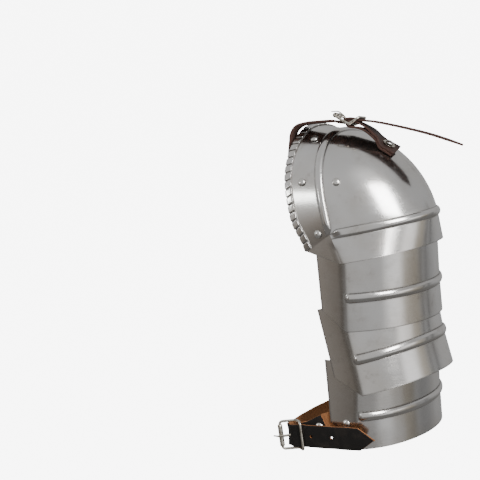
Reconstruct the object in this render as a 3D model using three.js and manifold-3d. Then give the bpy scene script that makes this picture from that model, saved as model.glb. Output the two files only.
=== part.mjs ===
// Shoulder pauldron of sheet steel: a domed cop over three lames, with its leather straps and buckles.
// Millimetres. +X points away from the neck, +Y to the back, +Z up.
// The arm's axis is x = y = 0 while shapes are worked out. The whole part is then moved so that
// the origin lies under the crest of the cop, where it sits on the shoulder.
import * as THREE from 'three';
import { mergeVertices } from 'three/addons/utils/BufferGeometryUtils.js';
import Module from 'manifold-3d';

const wasm = await Module();
wasm.setup();

// Driving dimensions: sheet, clearances and the front-to-back depth
const plate = 1.2;
const gap = 0.3;
const meshTolerance = 0.04;
const copHalf = 82;
const rimHalf = 84;
const bow = 17.5 * Math.PI / 180;

// Cop: the profile over the shoulder is one circle, seen along the Y axis
const profileX = -35.5;
const profileZ = -28.9;
const profileRadius = 127.6;
// Corner where arch bead and rim bead meet, at the front and again at the back
const cornerX = 8;
const cornerZ = 1.3;
const rimAngle = 14.5 * Math.PI / 180;
const archAngle = 112.5 * Math.PI / 180;
const rimCut = 0.39;
const archCut = 0.0;
const rimRound = 1.8;
const archRound = 2.2;
const copBeadWidth = 9.5;
const copBeadHeight = 2.8;

// Cop: neck-side band with its rolled and slit edge
const edgeReach = 122;
const edgeRound = 2.15;
const bandTop = 32;
const bandSide = 41;
const bandFoot = 34;
const edgeDrop = 9.3;
const rollWidth = 8;
const rollHeight = 2.2;
const rollPitch = 9;
const slitWidth = 1.3;
const slitShare = 0.7;
const slitSlant = 2;

// Cop: flared rim below the rim bead
const flareCornerX = 24;
const flareCornerZ = -27.6;
const flareReach = 84.8;
const flareSlope = 0.262;

// Lames: how far they hang below the rim bead, and the width of their flat panels
const lameLength = 228;
const panelWidth = 34;
const lameBeadWidth = 10;
const lameBeadHeight = 2.8;
const panelCut = 40 * Math.PI / 180;
// Sections at the top edge, along the bead and at the lower edge, as shares: drop of the lames' length,
// fold of the flare's corner in x, panel of the panel width, reach of the flare's reach, and half of its depth
const lameRows = [
  { name: 'upper_lame', slope: 0.14, sections: [
    { drop: 0.0482, fold: 0.883, panel: 0.991, reach: 0.9186, half: 0.9298 },
    { drop: 0.2851, fold: 1.133, panel: 0.906, reach: 0.967, half: 0.9571 },
    { drop: 0.443, fold: 1.2625, panel: 0.803, reach: 1.0224, half: 0.9762 } ] },
  { name: 'middle_lame', slope: 0.36, sections: [
    { drop: 0.3246, fold: 0.729, panel: 0.797, reach: 0.8903, half: 0.9214 },
    { drop: 0.5746, fold: 1.625, panel: 0.8235, reach: 1.0377, half: 0.9524 },
    { drop: 0.7325, fold: 2.1667, panel: 0.8235, reach: 1.184, half: 0.9762 } ] },
  { name: 'lower_lame', slope: 0.12, sections: [
    { drop: 0.5833, fold: 1.7917, panel: 1.256, reach: 0.9139, half: 0.9107 },
    { drop: 0.8421, fold: 1.9167, panel: 1.0588, reach: 0.9764, half: 0.9476 },
    { drop: 1, fold: 2.0292, panel: 0.9618, reach: 1.0248, half: 0.9667 } ] },
];
const lameSize = ({ drop, fold, panel, reach, half }) => ({
  z: -drop * lameLength,
  crease: fold * flareCornerX,
  inner: fold * flareCornerX - panel * panelWidth,
  reach: reach * flareReach,
  half: half * rimHalf,
});
const lames = lameRows.map((row) => ({ ...row, sections: row.sections.map(lameSize) }));

// Rivets
const rivetHead = 4.3;
const rivetRise = 2.6;
const shank = 1.6;
const headGap = 0.45;
const bandRivetLift = 0.15;
const hiddenHead = 3.2;
const hiddenRise = 1.2;
const bandRivets = [
  { name: 'top', share: 0.264, from: 0.4 },
  { name: 'middle', share: 0.653, from: 0.505 },
  { name: 'low', share: 0.968, from: 0.39 },
];
const faceRivet = { angle: 93.5 * Math.PI / 180, share: 0.6175 };
const hangHeight = 0.12;
const hangAcross = -0.4;

// Leather
const leather = 2.5;
const strapWidth = 25;
const hangerWidth = 16;
const hangerSink = 1.5;
const hangerFlat = 6;
const hangerLean = [0, 0.1, 0.35];
const tipLength = 19;
const holeRadius = 2;
const holePitch = 27;

// Buckle of bent wire with a centre bar, a roller and a tongue
const wire = 1.5;
const buckleWidth = 31;
const rollerRadius = 2.7;
const rollerBar = -16.5;
const rollerRise = 8.5;
const keeperBar = 10.5;
const keeperRise = 7.5;
const frameCorner = 3;
const tongueReach = 7.5;
const tongueHoleRadius = 2.6;
const tongueWidth = 3;
const tongueThick = 1.8;
const tongueSlotLength = 11;
const tongueSlotDepth = 12;

// Arm strap: it is set off from the lowest lame's lower edge, its crease along the bead and its half depth
const lowEdge = lames[2].sections[2];
const lowCrease = lames[2].sections[1].crease;
const armBarStand = 3.45;
const armBarRise = 1.4;
const armBar = [-28, -lowEdge.half - armBarStand, lowEdge.z + armBarRise];
const armSlope = 10 * Math.PI / 180;
const armOffset = -0.3;
const strapRivetBack = 14;
const strapRivetRise = 25.6;
const rootBack = 3;
const strapRivet = { x: lowCrease - strapRivetBack, z: lowEdge.z + strapRivetRise };
const rootX = lowCrease - rootBack;
const leaveBack = 26;
const leaveX = lowCrease - leaveBack;
// The way round the arm from back to front. Each row is x as a share of the way's reach inwards, y as a share
// of the half depth, the rise over the centre bar, and the direction of the grain side in x and y.
const armWayReach = 50;
const armWay = [
  [0.08, 0.926, 14.1, 0.1, 1], [-0.56, 0.665, 4.6, -0.7, 0.7], [-0.9, 0.172, -2.4, -1, 0.1],
  [-1, -0.308, -5.4, -1, -0.05], [-0.96, -0.714, -5.9, -1, -0.1], [-0.87, -0.961, -4.9, -0.8, -0.6],
].map(([x, y, rise, ox, oy]) => [x * armWayReach, y * lowEdge.half, armBar[2] + rise, ox, oy]);
// The tail, and both layers of the short strap, by their distance from the bar and how far they stand off
const armTailX = [20, 48, 73, 88, 100.6].map((along) => armBar[0] + along);
const tailStand = 8.4;
const armTailY = -lowEdge.half - tailStand;
const armHoles = [1, 2];
const standing = ([along, stand]) => [armBar[0] + along, -lowEdge.half - stand];
const foldFirst = [[45, -4.3], [39, -4], [33.5, -2.3], [28, -1], [22, -0.1], [14, 0.4]].map(standing);
const foldSecond = [[7.5, 4.8], [14, 4.1], [22, 3], [28, 1.9], [35, 0.6]].map(standing);
const foldRivet = { x: foldFirst[3][0], lean: 0.19, first: foldFirst[3][1], second: foldSecond[3][1] };
const foldLift = 13.6;
const foldLiftSpan = [armBar[0] + 4, armBar[0] + 48];
const foldRivetLift = 2.5;
const foldSlack = 1;

// Shoulder strap: it runs along a line turned about the tab rivet, and is banked. Each row starts with the
// distance along that line from the rivet.
const tabX = 25;
const strapTurn = 18 * Math.PI / 180;
const strapBank = 9 * Math.PI / 180;
const shoulderBarAlong = -38.3;
const shoulderBarRise = 11.89;
// The long strap: rise over the centre bar, and how far the grain side leans towards the neck
const shoulderWay = [
  [-105.6, -36.3, 1], [-104.4, -20.3, 1], [-103.4, -12.8, 0.9], [-97.5, -4.9, 0.45], [-85.3, -1, 0.12],
  [-70.9, 1, 0.06], [-57.5, 2.3, 0.05],
];
const shoulderTail = [[-14.9, 3.9], [14.1, -0.3], [46.5, -6.6], [67.1, -12.1], [81.9, -16.5]];
const shoulderHoles = [1, 2, 3];
const rootHoleFrom = 9;
// The short strap: rise over the dome below it, and how far it leans with the dome
const tabLower = [[-9.5, 5.74, 0.9], [-16.5, 8.33, 0.6], [-24, 9.89, 0.25], [-32, 9.69, 0.05]];
const tabUpper = [[-31, 15.53, 0.1], [-24, 14.69, 0.35], [-16, 12.41, 0.75], [-9, 9.25, 0.8]];
const tabEnd = 9;
const washerRadius = 7;
const washerThick = 1;

const steel = new THREE.MeshStandardMaterial({ color: 0xb9b7b4, roughness: 0.32, metalness: 1 });
const nickel = new THREE.MeshStandardMaterial({ color: 0xc9c3b4, roughness: 0.25, metalness: 1 });
const hide = new THREE.MeshStandardMaterial({ color: 0x2b1a13, roughness: 0.6, metalness: 0 });

const pauldron = new THREE.Group();

const mix = (a, b, t) => a + (b - a) * t;
const clamp01 = (t) => Math.min(1, Math.max(0, t));
const smooth = (a, b, t) => {
  const s = clamp01((t - a) / (b - a));
  return s * s * (3 - 2 * s);
};
const signedPower = (v, p) => Math.sign(v) * Math.abs(v) ** p;
const spread = (count, f) => Array.from({ length: count + 1 }, (_, i) => f(i / count, i));

// Half-ellipse profile of a bead: share 0 on its crest, 1 at its foot
const beadRise = (share) => Math.sqrt(Math.max(0, 1 - share * share));

// Meshes and solids

// An indexed mesh of grids of points. Points that coincide become one vertex.
class Sheet {
  constructor() {
    this.points = [];
    this.faces = [];
    this.lookup = new Map();
  }

  vertex(p) {
    const key = [p.x, p.y, p.z].map((v) => Math.round(v * 500)).join();
    if (!this.lookup.has(key)) {
      this.lookup.set(key, this.points.length);
      this.points.push(p.clone());
    }
    return this.lookup.get(key);
  }

  // Rows of points; the outer side is on the right hand of row direction turned to column direction
  grid(rows, flip = false) {
    const ids = rows.map((row) => row.map((p) => this.vertex(p)));
    for (let i = 0; i + 1 < ids.length; i += 1) {
      for (let j = 0; j + 1 < ids[i].length; j += 1) {
        const [a, b, c, d] = [ids[i][j], ids[i][j + 1], ids[i + 1][j + 1], ids[i + 1][j]];
        this.face(a, b, c, flip);
        this.face(a, c, d, flip);
      }
    }
  }

  face(a, b, c, flip) {
    if (a === b || b === c || c === a) return;
    this.faces.push(flip ? [a, c, b] : [a, b, c]);
  }

  normals() {
    const sums = this.points.map(() => new THREE.Vector3());
    for (const [a, b, c] of this.faces) {
      const ab = this.points[b].clone().sub(this.points[a]);
      const ac = this.points[c].clone().sub(this.points[a]);
      const cross = ab.cross(ac);
      for (const i of [a, b, c]) sums[i].add(cross);
    }
    return sums.map((n) => n.normalize());
  }

  // A closed wall: the sheet is its outer side, the inner side lies one thickness below
  thicken(thickness) {
    const normals = this.normals();
    const count = this.points.length;
    const inner = this.points.map((p, i) => p.clone().addScaledVector(normals[i], -thickness));
    const edges = new Set();
    for (const [a, b, c] of this.faces) {
      for (const [s, e] of [[a, b], [b, c], [c, a]]) edges.add(`${s},${e}`);
    }
    const faces = this.faces.flatMap(([a, b, c]) => [[a, b, c], [a + count, c + count, b + count]]);
    for (const edge of edges) {
      const [s, e] = edge.split(',').map(Number);
      if (edges.has(`${e},${s}`)) continue;
      faces.push([s, s + count, e + count], [s, e + count, e]);
    }
    return toGeometry([...this.points, ...inner], faces);
  }
}

function toGeometry(points, faces) {
  const geometry = new THREE.BufferGeometry();
  const values = points.flatMap((p) => [p.x, p.y, p.z]);
  geometry.setAttribute('position', new THREE.Float32BufferAttribute(values, 3));
  geometry.setIndex(faces.flat());
  return geometry;
}

function toSolid(geometry) {
  const bare = geometry.clone();
  bare.deleteAttribute('normal');
  bare.deleteAttribute('uv');
  const merged = mergeVertices(bare, 1e-4);
  const mesh = new wasm.Mesh({
    numProp: 3,
    vertProperties: new Float32Array(merged.attributes.position.array),
    triVerts: new Uint32Array(merged.index.array),
  });
  mesh.merge();
  return new wasm.Manifold(mesh);
}

function fromSolid(solid) {
  const mesh = solid.simplify(meshTolerance).getMesh();
  const geometry = new THREE.BufferGeometry();
  geometry.setAttribute('position', new THREE.BufferAttribute(new Float32Array(mesh.vertProperties), 3));
  geometry.setIndex(Array.from(mesh.triVerts));
  return geometry;
}

function addPiece(name, geometry, material) {
  const mesh = new THREE.Mesh(geometry, material);
  mesh.name = name;
  pauldron.add(mesh);
}

// A frame at a point with its local +Z along the given direction
function seat(point, direction) {
  const turn = new THREE.Quaternion().setFromUnitVectors(new THREE.Vector3(0, 0, 1), direction);
  return new THREE.Matrix4().compose(point, turn, new THREE.Vector3(1, 1, 1));
}

// A tool that cuts a round hole through everything near the frame's origin
function drill(frame, radius, depth) {
  const tool = new THREE.CylinderGeometry(radius, radius, 2 * depth, 8);
  tool.rotateX(Math.PI / 2);
  tool.applyMatrix4(frame);
  return toSolid(tool);
}

// A ring of points moved along a path and capped, for wires, ribbons and rolled edges
function loft(rings) {
  const size = rings[0].length;
  const points = rings.flat();
  const faces = [];
  for (let i = 0; i + 1 < rings.length; i += 1) {
    for (let j = 0; j < size; j += 1) {
      const k = (j + 1) % size;
      const [a, b] = [i * size + j, i * size + k];
      faces.push([a, b, b + size], [a, b + size, a + size]);
    }
  }
  const last = (rings.length - 1) * size;
  for (let j = 1; j + 1 < size; j += 1) {
    faces.push([0, j + 1, j], [last, last + j, last + j + 1]);
  }
  const geometry = toGeometry(points, faces);
  return signedVolume(points, faces) < 0 ? toGeometry(points, faces.map(([a, b, c]) => [a, c, b])) : geometry;
}

function signedVolume(points, faces) {
  return faces.reduce((sum, [a, b, c]) => sum + points[a].dot(points[b].clone().cross(points[c])) / 6, 0);
}

// Cop surface

// Distance from the corner to the profile circle, in the direction of an angle above +X
function profileReach(angle) {
  const [dx, dz] = [Math.cos(angle), Math.sin(angle)];
  const [ox, oz] = [cornerX - profileX, cornerZ - profileZ];
  const along = ox * dx + oz * dz;
  return Math.sqrt(along * along - (ox * ox + oz * oz - profileRadius * profileRadius)) - along;
}

// Share along an arch: -1 at the front corner, 0 over the shoulder, 1 at the back corner
function archPoint(angle, share) {
  const part = clamp01((angle - rimAngle) / (archAngle - rimAngle));
  const power = 2 / mix(rimRound, archRound, part);
  const end = Math.acos(mix(rimCut, archCut, part));
  const turn = share * end;
  const low = Math.cos(end) ** power;
  const height = (Math.abs(Math.cos(turn)) ** power - low) / (1 - low);
  const distance = profileReach(angle) * Math.max(0, height);
  return new THREE.Vector3(
    cornerX + distance * Math.cos(angle),
    copHalf * signedPower(Math.sin(turn), power) / Math.sin(end) ** power,
    cornerZ + distance * Math.sin(angle),
  );
}

function archRadius(angle, share) {
  const p = archPoint(angle, share);
  return Math.hypot(p.x - cornerX, p.z - cornerZ);
}

// Outward direction of the cop's main surface
function copNormal(angle, share) {
  const step = 0.002;
  const held = Math.sign(share) * Math.min(Math.abs(share), 0.97);
  const along = archPoint(angle, held + step).sub(archPoint(angle, held - step));
  const across = archPoint(angle + step, held).sub(archPoint(angle - step, held));
  return along.cross(across).normalize();
}

// The free edge of the neck-side band
function edgePoint(share) {
  const turn = Math.abs(share) * Math.PI / 2;
  const power = 2 / edgeRound;
  const up = edgeReach * Math.cos(turn) ** power - edgeDrop * Math.abs(share) ** 8;
  const wide = mix(bandTop, bandSide, smooth(0.16, 0.67, Math.abs(share)));
  const inset = wide - (bandSide - bandFoot) * smooth(0.85, 1, Math.abs(share));
  return new THREE.Vector3(
    cornerX + up * Math.cos(archAngle) - inset * Math.sin(archAngle),
    rimHalf * Math.sign(share) * Math.sin(turn) ** power,
    cornerZ + up * Math.sin(archAngle) + inset * Math.cos(archAngle),
  );
}

// An arc cut off at the crease on either side: share -1 at the front crease, 0 outermost, 1 at the back
function creaseArc(share, crease, reach, half) {
  const centre = (crease - Math.sin(bow) * reach) / (1 - Math.sin(bow));
  const turn = share * (Math.PI / 2 - bow);
  return { x: centre + (reach - centre) * Math.cos(turn), y: half / Math.cos(bow) * Math.sin(turn) };
}

function flarePoint(share) {
  const { x, y } = creaseArc(share, flareCornerX, flareReach, rimHalf);
  return new THREE.Vector3(x, y, flareCornerZ + flareSlope * (x - flareCornerX));
}

const copColumns = 28;
const copShares = spread(copColumns, (t) => 2 * t - 1);
const halfBead = copBeadWidth / 2;
const beadStations = [0, 0.55, 1];
const fadeLength = 9;
const beadFade = (angle, share) => clamp01(archRadius(angle, share) / fadeLength);

// A bead's row beside its centre line, towards the middle of the cop
function copBeadRow(centreAngle, side, station) {
  const span = archAngle - rimAngle;
  return copShares.map((share) => {
    const radius = Math.max(archRadius(centreAngle, share), 1e-6);
    const turn = Math.min(halfBead * station / radius, 0.3 * station * span);
    const rise = copBeadHeight * beadRise(station) * beadFade(centreAngle, share);
    const base = archPoint(centreAngle + side * turn, share);
    return base.addScaledVector(copNormal(centreAngle, share), rise);
  });
}

// A row on the ruled wall from a bead's centre line to a free edge
function ruledRow(centreAngle, edge, distanceShare) {
  return copShares.map((share) => {
    const from = archPoint(centreAngle, share);
    const to = edge(share);
    const length = from.distanceTo(to);
    const [near, far] = [halfBead / length, 1];
    const t = distanceShare <= 1 ? near * distanceShare : mix(near, far, distanceShare - 1);
    const rise = distanceShare < 1 ? copBeadHeight * beadRise(distanceShare) * beadFade(centreAngle, share) : 0;
    return from.lerp(to, t).addScaledVector(copNormal(centreAngle, share), rise);
  });
}

function buildCop() {
  const sheet = new Sheet();
  const crown = 9;
  const footTurn = (centreAngle, share) => {
    const radius = Math.max(archRadius(centreAngle, share), 1e-6);
    return Math.min(halfBead / radius, 0.3 * (archAngle - rimAngle));
  };
  const middle = spread(crown, (t) => copShares.map((share) => {
    const high = archAngle - footTurn(archAngle, share);
    const low = rimAngle + footTurn(rimAngle, share);
    return archPoint(mix(high, low, t), share);
  })).slice(1, -1);
  sheet.grid([
    ...beadStations.map((s) => copBeadRow(archAngle, -1, s)),
    ...middle,
    ...beadStations.map((s) => copBeadRow(rimAngle, 1, s)).reverse(),
  ], true);
  const outward = [...beadStations, 1.25, 1.5, 1.75, 2];
  const band = outward.map((s) => ruledRow(archAngle, edgePoint, s));
  const flare = outward.map((s) => ruledRow(rimAngle, flarePoint, s));
  sheet.grid(band);
  sheet.grid(flare, true);
  // The flat facet below each corner, from the band's end to the flare's end
  for (const end of [0, copColumns]) {
    const facet = outward.map((_, i) => spread(3, (t) => band[i][end].clone().lerp(flare[i][end], t)));
    sheet.grid(facet, end === 0);
  }
  return sheet.thicken(plate);
}

// The rolled edge, slit across at an even pitch
function buildRoll() {
  const fine = spread(600, (t) => edgePoint(2 * t - 1));
  const lengths = [0];
  for (let i = 1; i < fine.length; i += 1) lengths.push(lengths[i - 1] + fine[i].distanceTo(fine[i - 1]));
  const total = lengths[lengths.length - 1];
  const shareAt = (length) => {
    const held = Math.min(total, Math.max(0, length));
    const i = Math.max(1, lengths.findIndex((l) => l >= held));
    const t = (held - lengths[i - 1]) / (lengths[i] - lengths[i - 1]);
    return 2 * (i - 1 + t) / (fine.length - 1) - 1;
  };
  const count = Math.round(total / rollPitch);
  const pitch = total / count;
  const rings = [];
  const addRing = (length, open, shift) => {
    const share = shareAt(length);
    const edge = edgePoint(share);
    const held = Math.sign(share) * Math.min(Math.abs(share), 0.985);
    const inward = archPoint(archAngle, share).sub(edge).normalize();
    const along = edgePoint(held + 0.01).sub(edgePoint(held - 0.01)).normalize();
    const up = inward.clone().cross(along).normalize();
    const at = (across, height, slide = 0) => edge.clone()
      .addScaledVector(inward, across).addScaledVector(up, height).addScaledVector(along, slide);
    const top = open ? 0.25 : 1;
    rings.push([
      at(rollWidth, -plate / 2),
      at(rollWidth - 1, rollHeight * 0.9),
      at(rollWidth * (1 - slitShare), rollHeight * mix(1, top, open), shift),
      at(-plate, rollHeight * 0.3 * top, shift),
      at(-plate, -plate * 1.6, 0),
      at(plate * 1.2, -plate * 1.6),
    ]);
  };
  for (let i = 0; i <= count; i += 1) {
    const centre = i * pitch;
    if (i === 0 || i === count) {
      addRing(centre, 0, 0);
      continue;
    }
    addRing(centre - slitWidth, 0, -slitSlant / 2);
    addRing(centre, 1, -slitSlant / 2);
    addRing(centre + slitWidth, 0, -slitSlant / 2);
  }
  return loft(rings);
}

// Lames

// share of height: 0 top edge, 1 bead line, 2 lower edge
function lameSection(lame, height) {
  const [a, b, t] = height <= 1
    ? [lame.sections[0], lame.sections[1], height]
    : [lame.sections[1], lame.sections[2], height - 1];
  return Object.fromEntries(Object.keys(a).map((key) => [key, mix(a[key], b[key], t)]));
}

// Place on the front half of a lame: across < 0 on the flat panel (-1 at its free edge), 0 at the crease,
// 1 outermost. side is -1 for the front and 1 for the back.
function lamePoint(lame, height, across, side) {
  const section = lameSection(lame, height);
  const flat = { x: mix(section.crease, section.inner, -across), y: -section.half };
  const { x, y } = across < 0 ? flat : creaseArc(across - 1, section.crease, section.reach, section.half);
  return new THREE.Vector3(x, -side * y, section.z + lame.slope * (x - section.crease));
}

function lameNormal(lame, height, across, side) {
  const step = 0.01;
  const down = lamePoint(lame, height + step, across, side).sub(lamePoint(lame, height - step, across, side));
  const out = lamePoint(lame, height, across + step, side).sub(lamePoint(lame, height, across - step, side));
  return (side < 0 ? out.cross(down) : down.cross(out)).normalize().negate();
}

const panelSteps = 3;
const arcSteps = 8;

function buildLame(lame) {
  const [, bead, low] = lame.sections;
  const skirt = bead.z - low.z;
  const halfWidth = lameBeadWidth / 2 / skirt;
  const topShare = lameBeadWidth / 2 / (lame.sections[0].z - bead.z);
  const heights = [
    { height: 0, rise: 0 }, { height: 0.5, rise: 0 },
    { height: 1 - topShare, rise: 0 }, { height: 1 - topShare * 0.55, rise: beadRise(0.55) },
    { height: 1, rise: 1 },
    { height: 1 + halfWidth * 0.55, rise: beadRise(0.55) }, { height: 1 + halfWidth, rise: 0 },
    { height: 2, rise: 0 },
  ];
  const front = [
    ...spread(panelSteps, (t) => t - 1).slice(0, -1),
    ...spread(arcSteps, (t) => t ** 1.25),
  ];
  const columns = [
    ...front.map((across) => ({ across, side: -1 })),
    ...front.slice(0, -1).reverse().map((across) => ({ across, side: 1 })),
  ];
  const rise = Math.tan(panelCut) * (low.crease - low.inner) / skirt;
  const sheet = new Sheet();
  sheet.grid(heights.map(({ height, rise: bulge }) => columns.map(({ across, side }) => {
    const cut = across < 0 && height > 1 + halfWidth ? rise * across : 0;
    const fade = smooth(0, 0.12, across);
    const point = lamePoint(lame, height + cut, across, side);
    const out = lameNormal(lame, height, Math.max(across, 0.02), side);
    return point.addScaledVector(out, lameBeadHeight * bulge * fade);
  })), true);
  return sheet.thicken(plate);
}

// Rivets

// A turned rivet: domed head outside, shank through the layers, flat head inside
function rivet(layers, head, rise) {
  const outline = [
    [0, -layers - hiddenRise], [hiddenHead, -layers - hiddenRise], [hiddenHead, -layers], [shank, -layers],
    [shank, headGap], [head, headGap], [head * 0.8, headGap + rise * 0.65], [0, headGap + rise],
  ];
  const lathe = new THREE.LatheGeometry(outline.map(([r, z]) => new THREE.Vector2(r, z)), 8);
  lathe.rotateX(Math.PI / 2);
  return lathe;
}

const drills = {};
function addRivet(name, point, out, layers, through, head = rivetHead, rise = rivetRise) {
  const frame = seat(point, out);
  const geometry = rivet(layers, head, rise);
  geometry.applyMatrix4(frame);
  addPiece(name, fromSolid(toSolid(geometry)), steel);
  for (const node of through) {
    drills[node] = [...(drills[node] ?? []), drill(frame, shank + gap, layers + 4)];
  }
}

function addPlate(name, solid, material) {
  const cut = (drills[name] ?? []).reduce((body, tool) => body.subtract(tool), solid);
  addPiece(name, fromSolid(cut), material);
}

// Straps and wire

const vec = (x, y, z) => new THREE.Vector3(x, y, z);

// A flat band along a smooth path. Each key has its place and the direction that its grain side faces.
function ribbonFrames(keys, stepsPerKey) {
  const curve = new THREE.CatmullRomCurve3(keys.map((key) => key.at), false, 'centripetal');
  const count = (keys.length - 1) * stepsPerKey;
  return spread(count, (t, i) => {
    const [k, part] = [Math.min(Math.floor(i / stepsPerKey), keys.length - 2), (i / stepsPerKey)];
    const at = curve.getPoint(t);
    const ahead = curve.getPoint(Math.min(1, t + 0.002)).sub(curve.getPoint(Math.max(0, t - 0.002))).normalize();
    const facing = keys[k].out.clone().lerp(keys[k + 1].out, part - k);
    const across = facing.clone().cross(ahead).normalize();
    return { at, ahead, across, out: ahead.clone().cross(across).normalize(), t };
  });
}

function ribbon(frames, width, thickness, widthAt = () => 1) {
  return loft(frames.map((frame) => {
    const half = width / 2 * widthAt(frame);
    const corner = (side, level) => frame.at.clone()
      .addScaledVector(frame.across, side * half).addScaledVector(frame.out, level * thickness / 2);
    return [corner(-1, -1), corner(1, -1), corner(1, 1), corner(-1, 1)];
  }));
}

// Narrows a strap to a point over the last stretch before its tip
const pointed = (frames, length) => {
  const tip = frames[frames.length - 1].at;
  return (frame) => Math.max(0.04, clamp01(frame.at.distanceTo(tip) / length));
};

// Frames along a strap with one more just where its point begins
function withTipStation(frames, length) {
  const tip = frames[frames.length - 1].at;
  const i = frames.findIndex((frame) => frame.at.distanceTo(tip) <= length);
  const [a, b] = [frames[i - 1], frames[i]];
  const t = (a.at.distanceTo(tip) - length) / (a.at.distanceTo(tip) - b.at.distanceTo(tip));
  const between = Object.fromEntries(['at', 'ahead', 'across', 'out'].map((key) => [key, a[key].clone().lerp(b[key], t)]));
  return [...frames.slice(0, i), { ...between, t: mix(a.t, b.t, t) }, ...frames.slice(i)];
}

function tube(points, up, radius, sides, closed) {
  const count = points.length;
  const rings = points.map((p, i) => {
    const before = points[closed ? (i + count - 1) % count : Math.max(0, i - 1)];
    const after = points[closed ? (i + 1) % count : Math.min(count - 1, i + 1)];
    const ahead = after.clone().sub(before).normalize();
    const side = up.clone().cross(ahead).normalize();
    const top = ahead.clone().cross(side);
    return spread(sides, (t) => p.clone()
      .addScaledVector(side, radius * Math.cos(2 * Math.PI * t))
      .addScaledVector(top, radius * Math.sin(2 * Math.PI * t))).slice(0, -1);
  });
  if (!closed) return loft(rings);
  const faces = [];
  rings.forEach((_, i) => {
    const next = ((i + 1) % count) * sides;
    for (let j = 0; j < sides; j += 1) {
      const k = (j + 1) % sides;
      faces.push([i * sides + j, next + k, i * sides + k], [i * sides + j, next + j, next + k]);
    }
  });
  const flat = rings.flat();
  return toGeometry(flat, signedVolume(flat, faces) < 0 ? faces.map(([a, b, c]) => [a, c, b]) : faces);
}

// Buckle in its own frame: x along the strap towards its free end, y across it, z away from the wearer.
// The centre bar is the y axis.
const buckleHalf = buckleWidth / 2;
const barBend = 1.15;

function frameLoop() {
  const level = (x) => (x < 0 ? rollerRise * (x / rollerBar) ** barBend : keeperRise * (x / keeperBar) ** barBend);
  const point = (x, y) => vec(x, y, level(x));
  const corner = (x, y, from) => spread(3, (t) => {
    const turn = (from + 90 * t) * Math.PI / 180;
    return point(
      x - Math.sign(x) * frameCorner + frameCorner * Math.cos(turn),
      y - Math.sign(y) * frameCorner + frameCorner * Math.sin(turn),
    );
  });
  const side = (y, bars) => bars.map((x) => point(x, y));
  const [near, far] = [keeperBar / 3, rollerBar / 2];
  return [
    ...corner(keeperBar, buckleHalf, 0), ...side(buckleHalf, [near, 0, far]),
    ...corner(rollerBar, buckleHalf, 90), ...corner(rollerBar, -buckleHalf, 180),
    ...side(-buckleHalf, [far, 0, near]), ...corner(keeperBar, -buckleHalf, 270),
  ];
}

// The tongue's eye turns round the centre bar. Its arm goes through the strap and rests on the roller.
const eyeRadius = wire + gap + tongueThick / 2;
const rollerTop = rollerRise + rollerRadius + 2 * gap + tongueThick / 2;
const pierce = { x: -5.6, z: 4.8 };
const eyeStart = 170 * Math.PI / 180;
const eyeEnd = 460 * Math.PI / 180;

function tonguePath() {
  const eye = spread(9, (t) => {
    const turn = mix(eyeStart, eyeEnd, t);
    return vec(eyeRadius * Math.cos(turn), 0, eyeRadius * Math.sin(turn));
  });
  return [
    ...eye, vec(pierce.x, 0, pierce.z), vec(mix(pierce.x, rollerBar, 0.55), 0, mix(pierce.z, rollerTop, 0.65)),
    vec(rollerBar, 0, rollerTop), vec(rollerBar - tongueReach, 0, rollerTop - 0.5),
  ];
}

function tongue() {
  const path = tonguePath();
  const across = vec(0, 1, 0);
  return ribbon(path.map((at, i) => {
    const ahead = path[Math.min(path.length - 1, i + 1)].clone().sub(path[Math.max(0, i - 1)]).normalize();
    return { at, ahead, across, out: ahead.clone().cross(across) };
  }), tongueWidth, tongueThick);
}

function placed(geometry, frame) {
  const moved = geometry.clone();
  moved.applyMatrix4(frame);
  return moved;
}

function addBuckle(name, frame) {
  const bar = new THREE.CylinderGeometry(wire, wire, buckleWidth, 8);
  const loop = toSolid(placed(tube(frameLoop(), vec(0, 0, 1), wire, 8, true), frame));
  addPiece(`${name}_buckle_frame`, fromSolid(loop.add(toSolid(placed(bar, frame)))), nickel);
  const half = buckleHalf - frameCorner - 0.5;
  const section = [[rollerRadius, -half], [rollerRadius, half], [wire + gap, half], [wire + gap, -half]];
  const ring = [...section, section[0]].map(([r, y]) => new THREE.Vector2(r, y));
  const roller = new THREE.LatheGeometry(ring, 12);
  roller.translate(rollerBar, 0, rollerRise);
  addPiece(`${name}_buckle_roller`, fromSolid(toSolid(placed(roller, frame))), nickel);
  addPiece(`${name}_buckle_tongue`, fromSolid(toSolid(placed(tongue(), frame))), nickel);
}

// Slot in a folded strap for the tongue's eye, and the hole that the tongue needs in the strap over it
function tongueSlot(frame) {
  const slot = new THREE.BoxGeometry(tongueSlotLength, tongueWidth + 4 * gap, tongueSlotDepth);
  slot.translate(0.5, 0, 0);
  return toSolid(placed(slot, frame));
}

function tongueHole(frame) {
  const at = vec(pierce.x, 0, pierce.z).applyMatrix4(frame);
  const ahead = vec(rollerBar - pierce.x, 0, rollerTop - pierce.z).normalize().transformDirection(frame);
  return drill(seat(at, ahead), tongueHoleRadius, 4);
}

const buckleBasis = (at, ahead, out) => new THREE.Matrix4()
  .makeBasis(ahead, out.clone().cross(ahead), out).setPosition(at);

// A strap's key at a place in a buckle's frame
const tucked = (frame, x, y, z, facing) => ({
  at: vec(x, y, z).applyMatrix4(frame), out: vec(...facing).transformDirection(frame),
});

// The long strap comes up between roller and centre bar, crosses the bar and dives under the keeper bar
const threaded = (frame, offset) => [[-9, 1], [-5.2, 4.5], [0.3, 5.95], [5, 5.55], [keeperBar, 4.45]]
  .map(([x, z]) => tucked(frame, x, offset, z, [0, 0, 1]));

// The short strap comes along the inner side, turns round the centre bar and goes back over itself
const foldRadius = wire + gap + leather / 2 + 0.1;
const folded = (frame) => [-90, -135, -180, -225, -270].map((degrees) => {
  const [x, z] = [Math.cos(degrees * Math.PI / 180), Math.sin(degrees * Math.PI / 180)];
  return tucked(frame, foldRadius * x, 0, foldRadius * z, [x, 0, z]);
});

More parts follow.
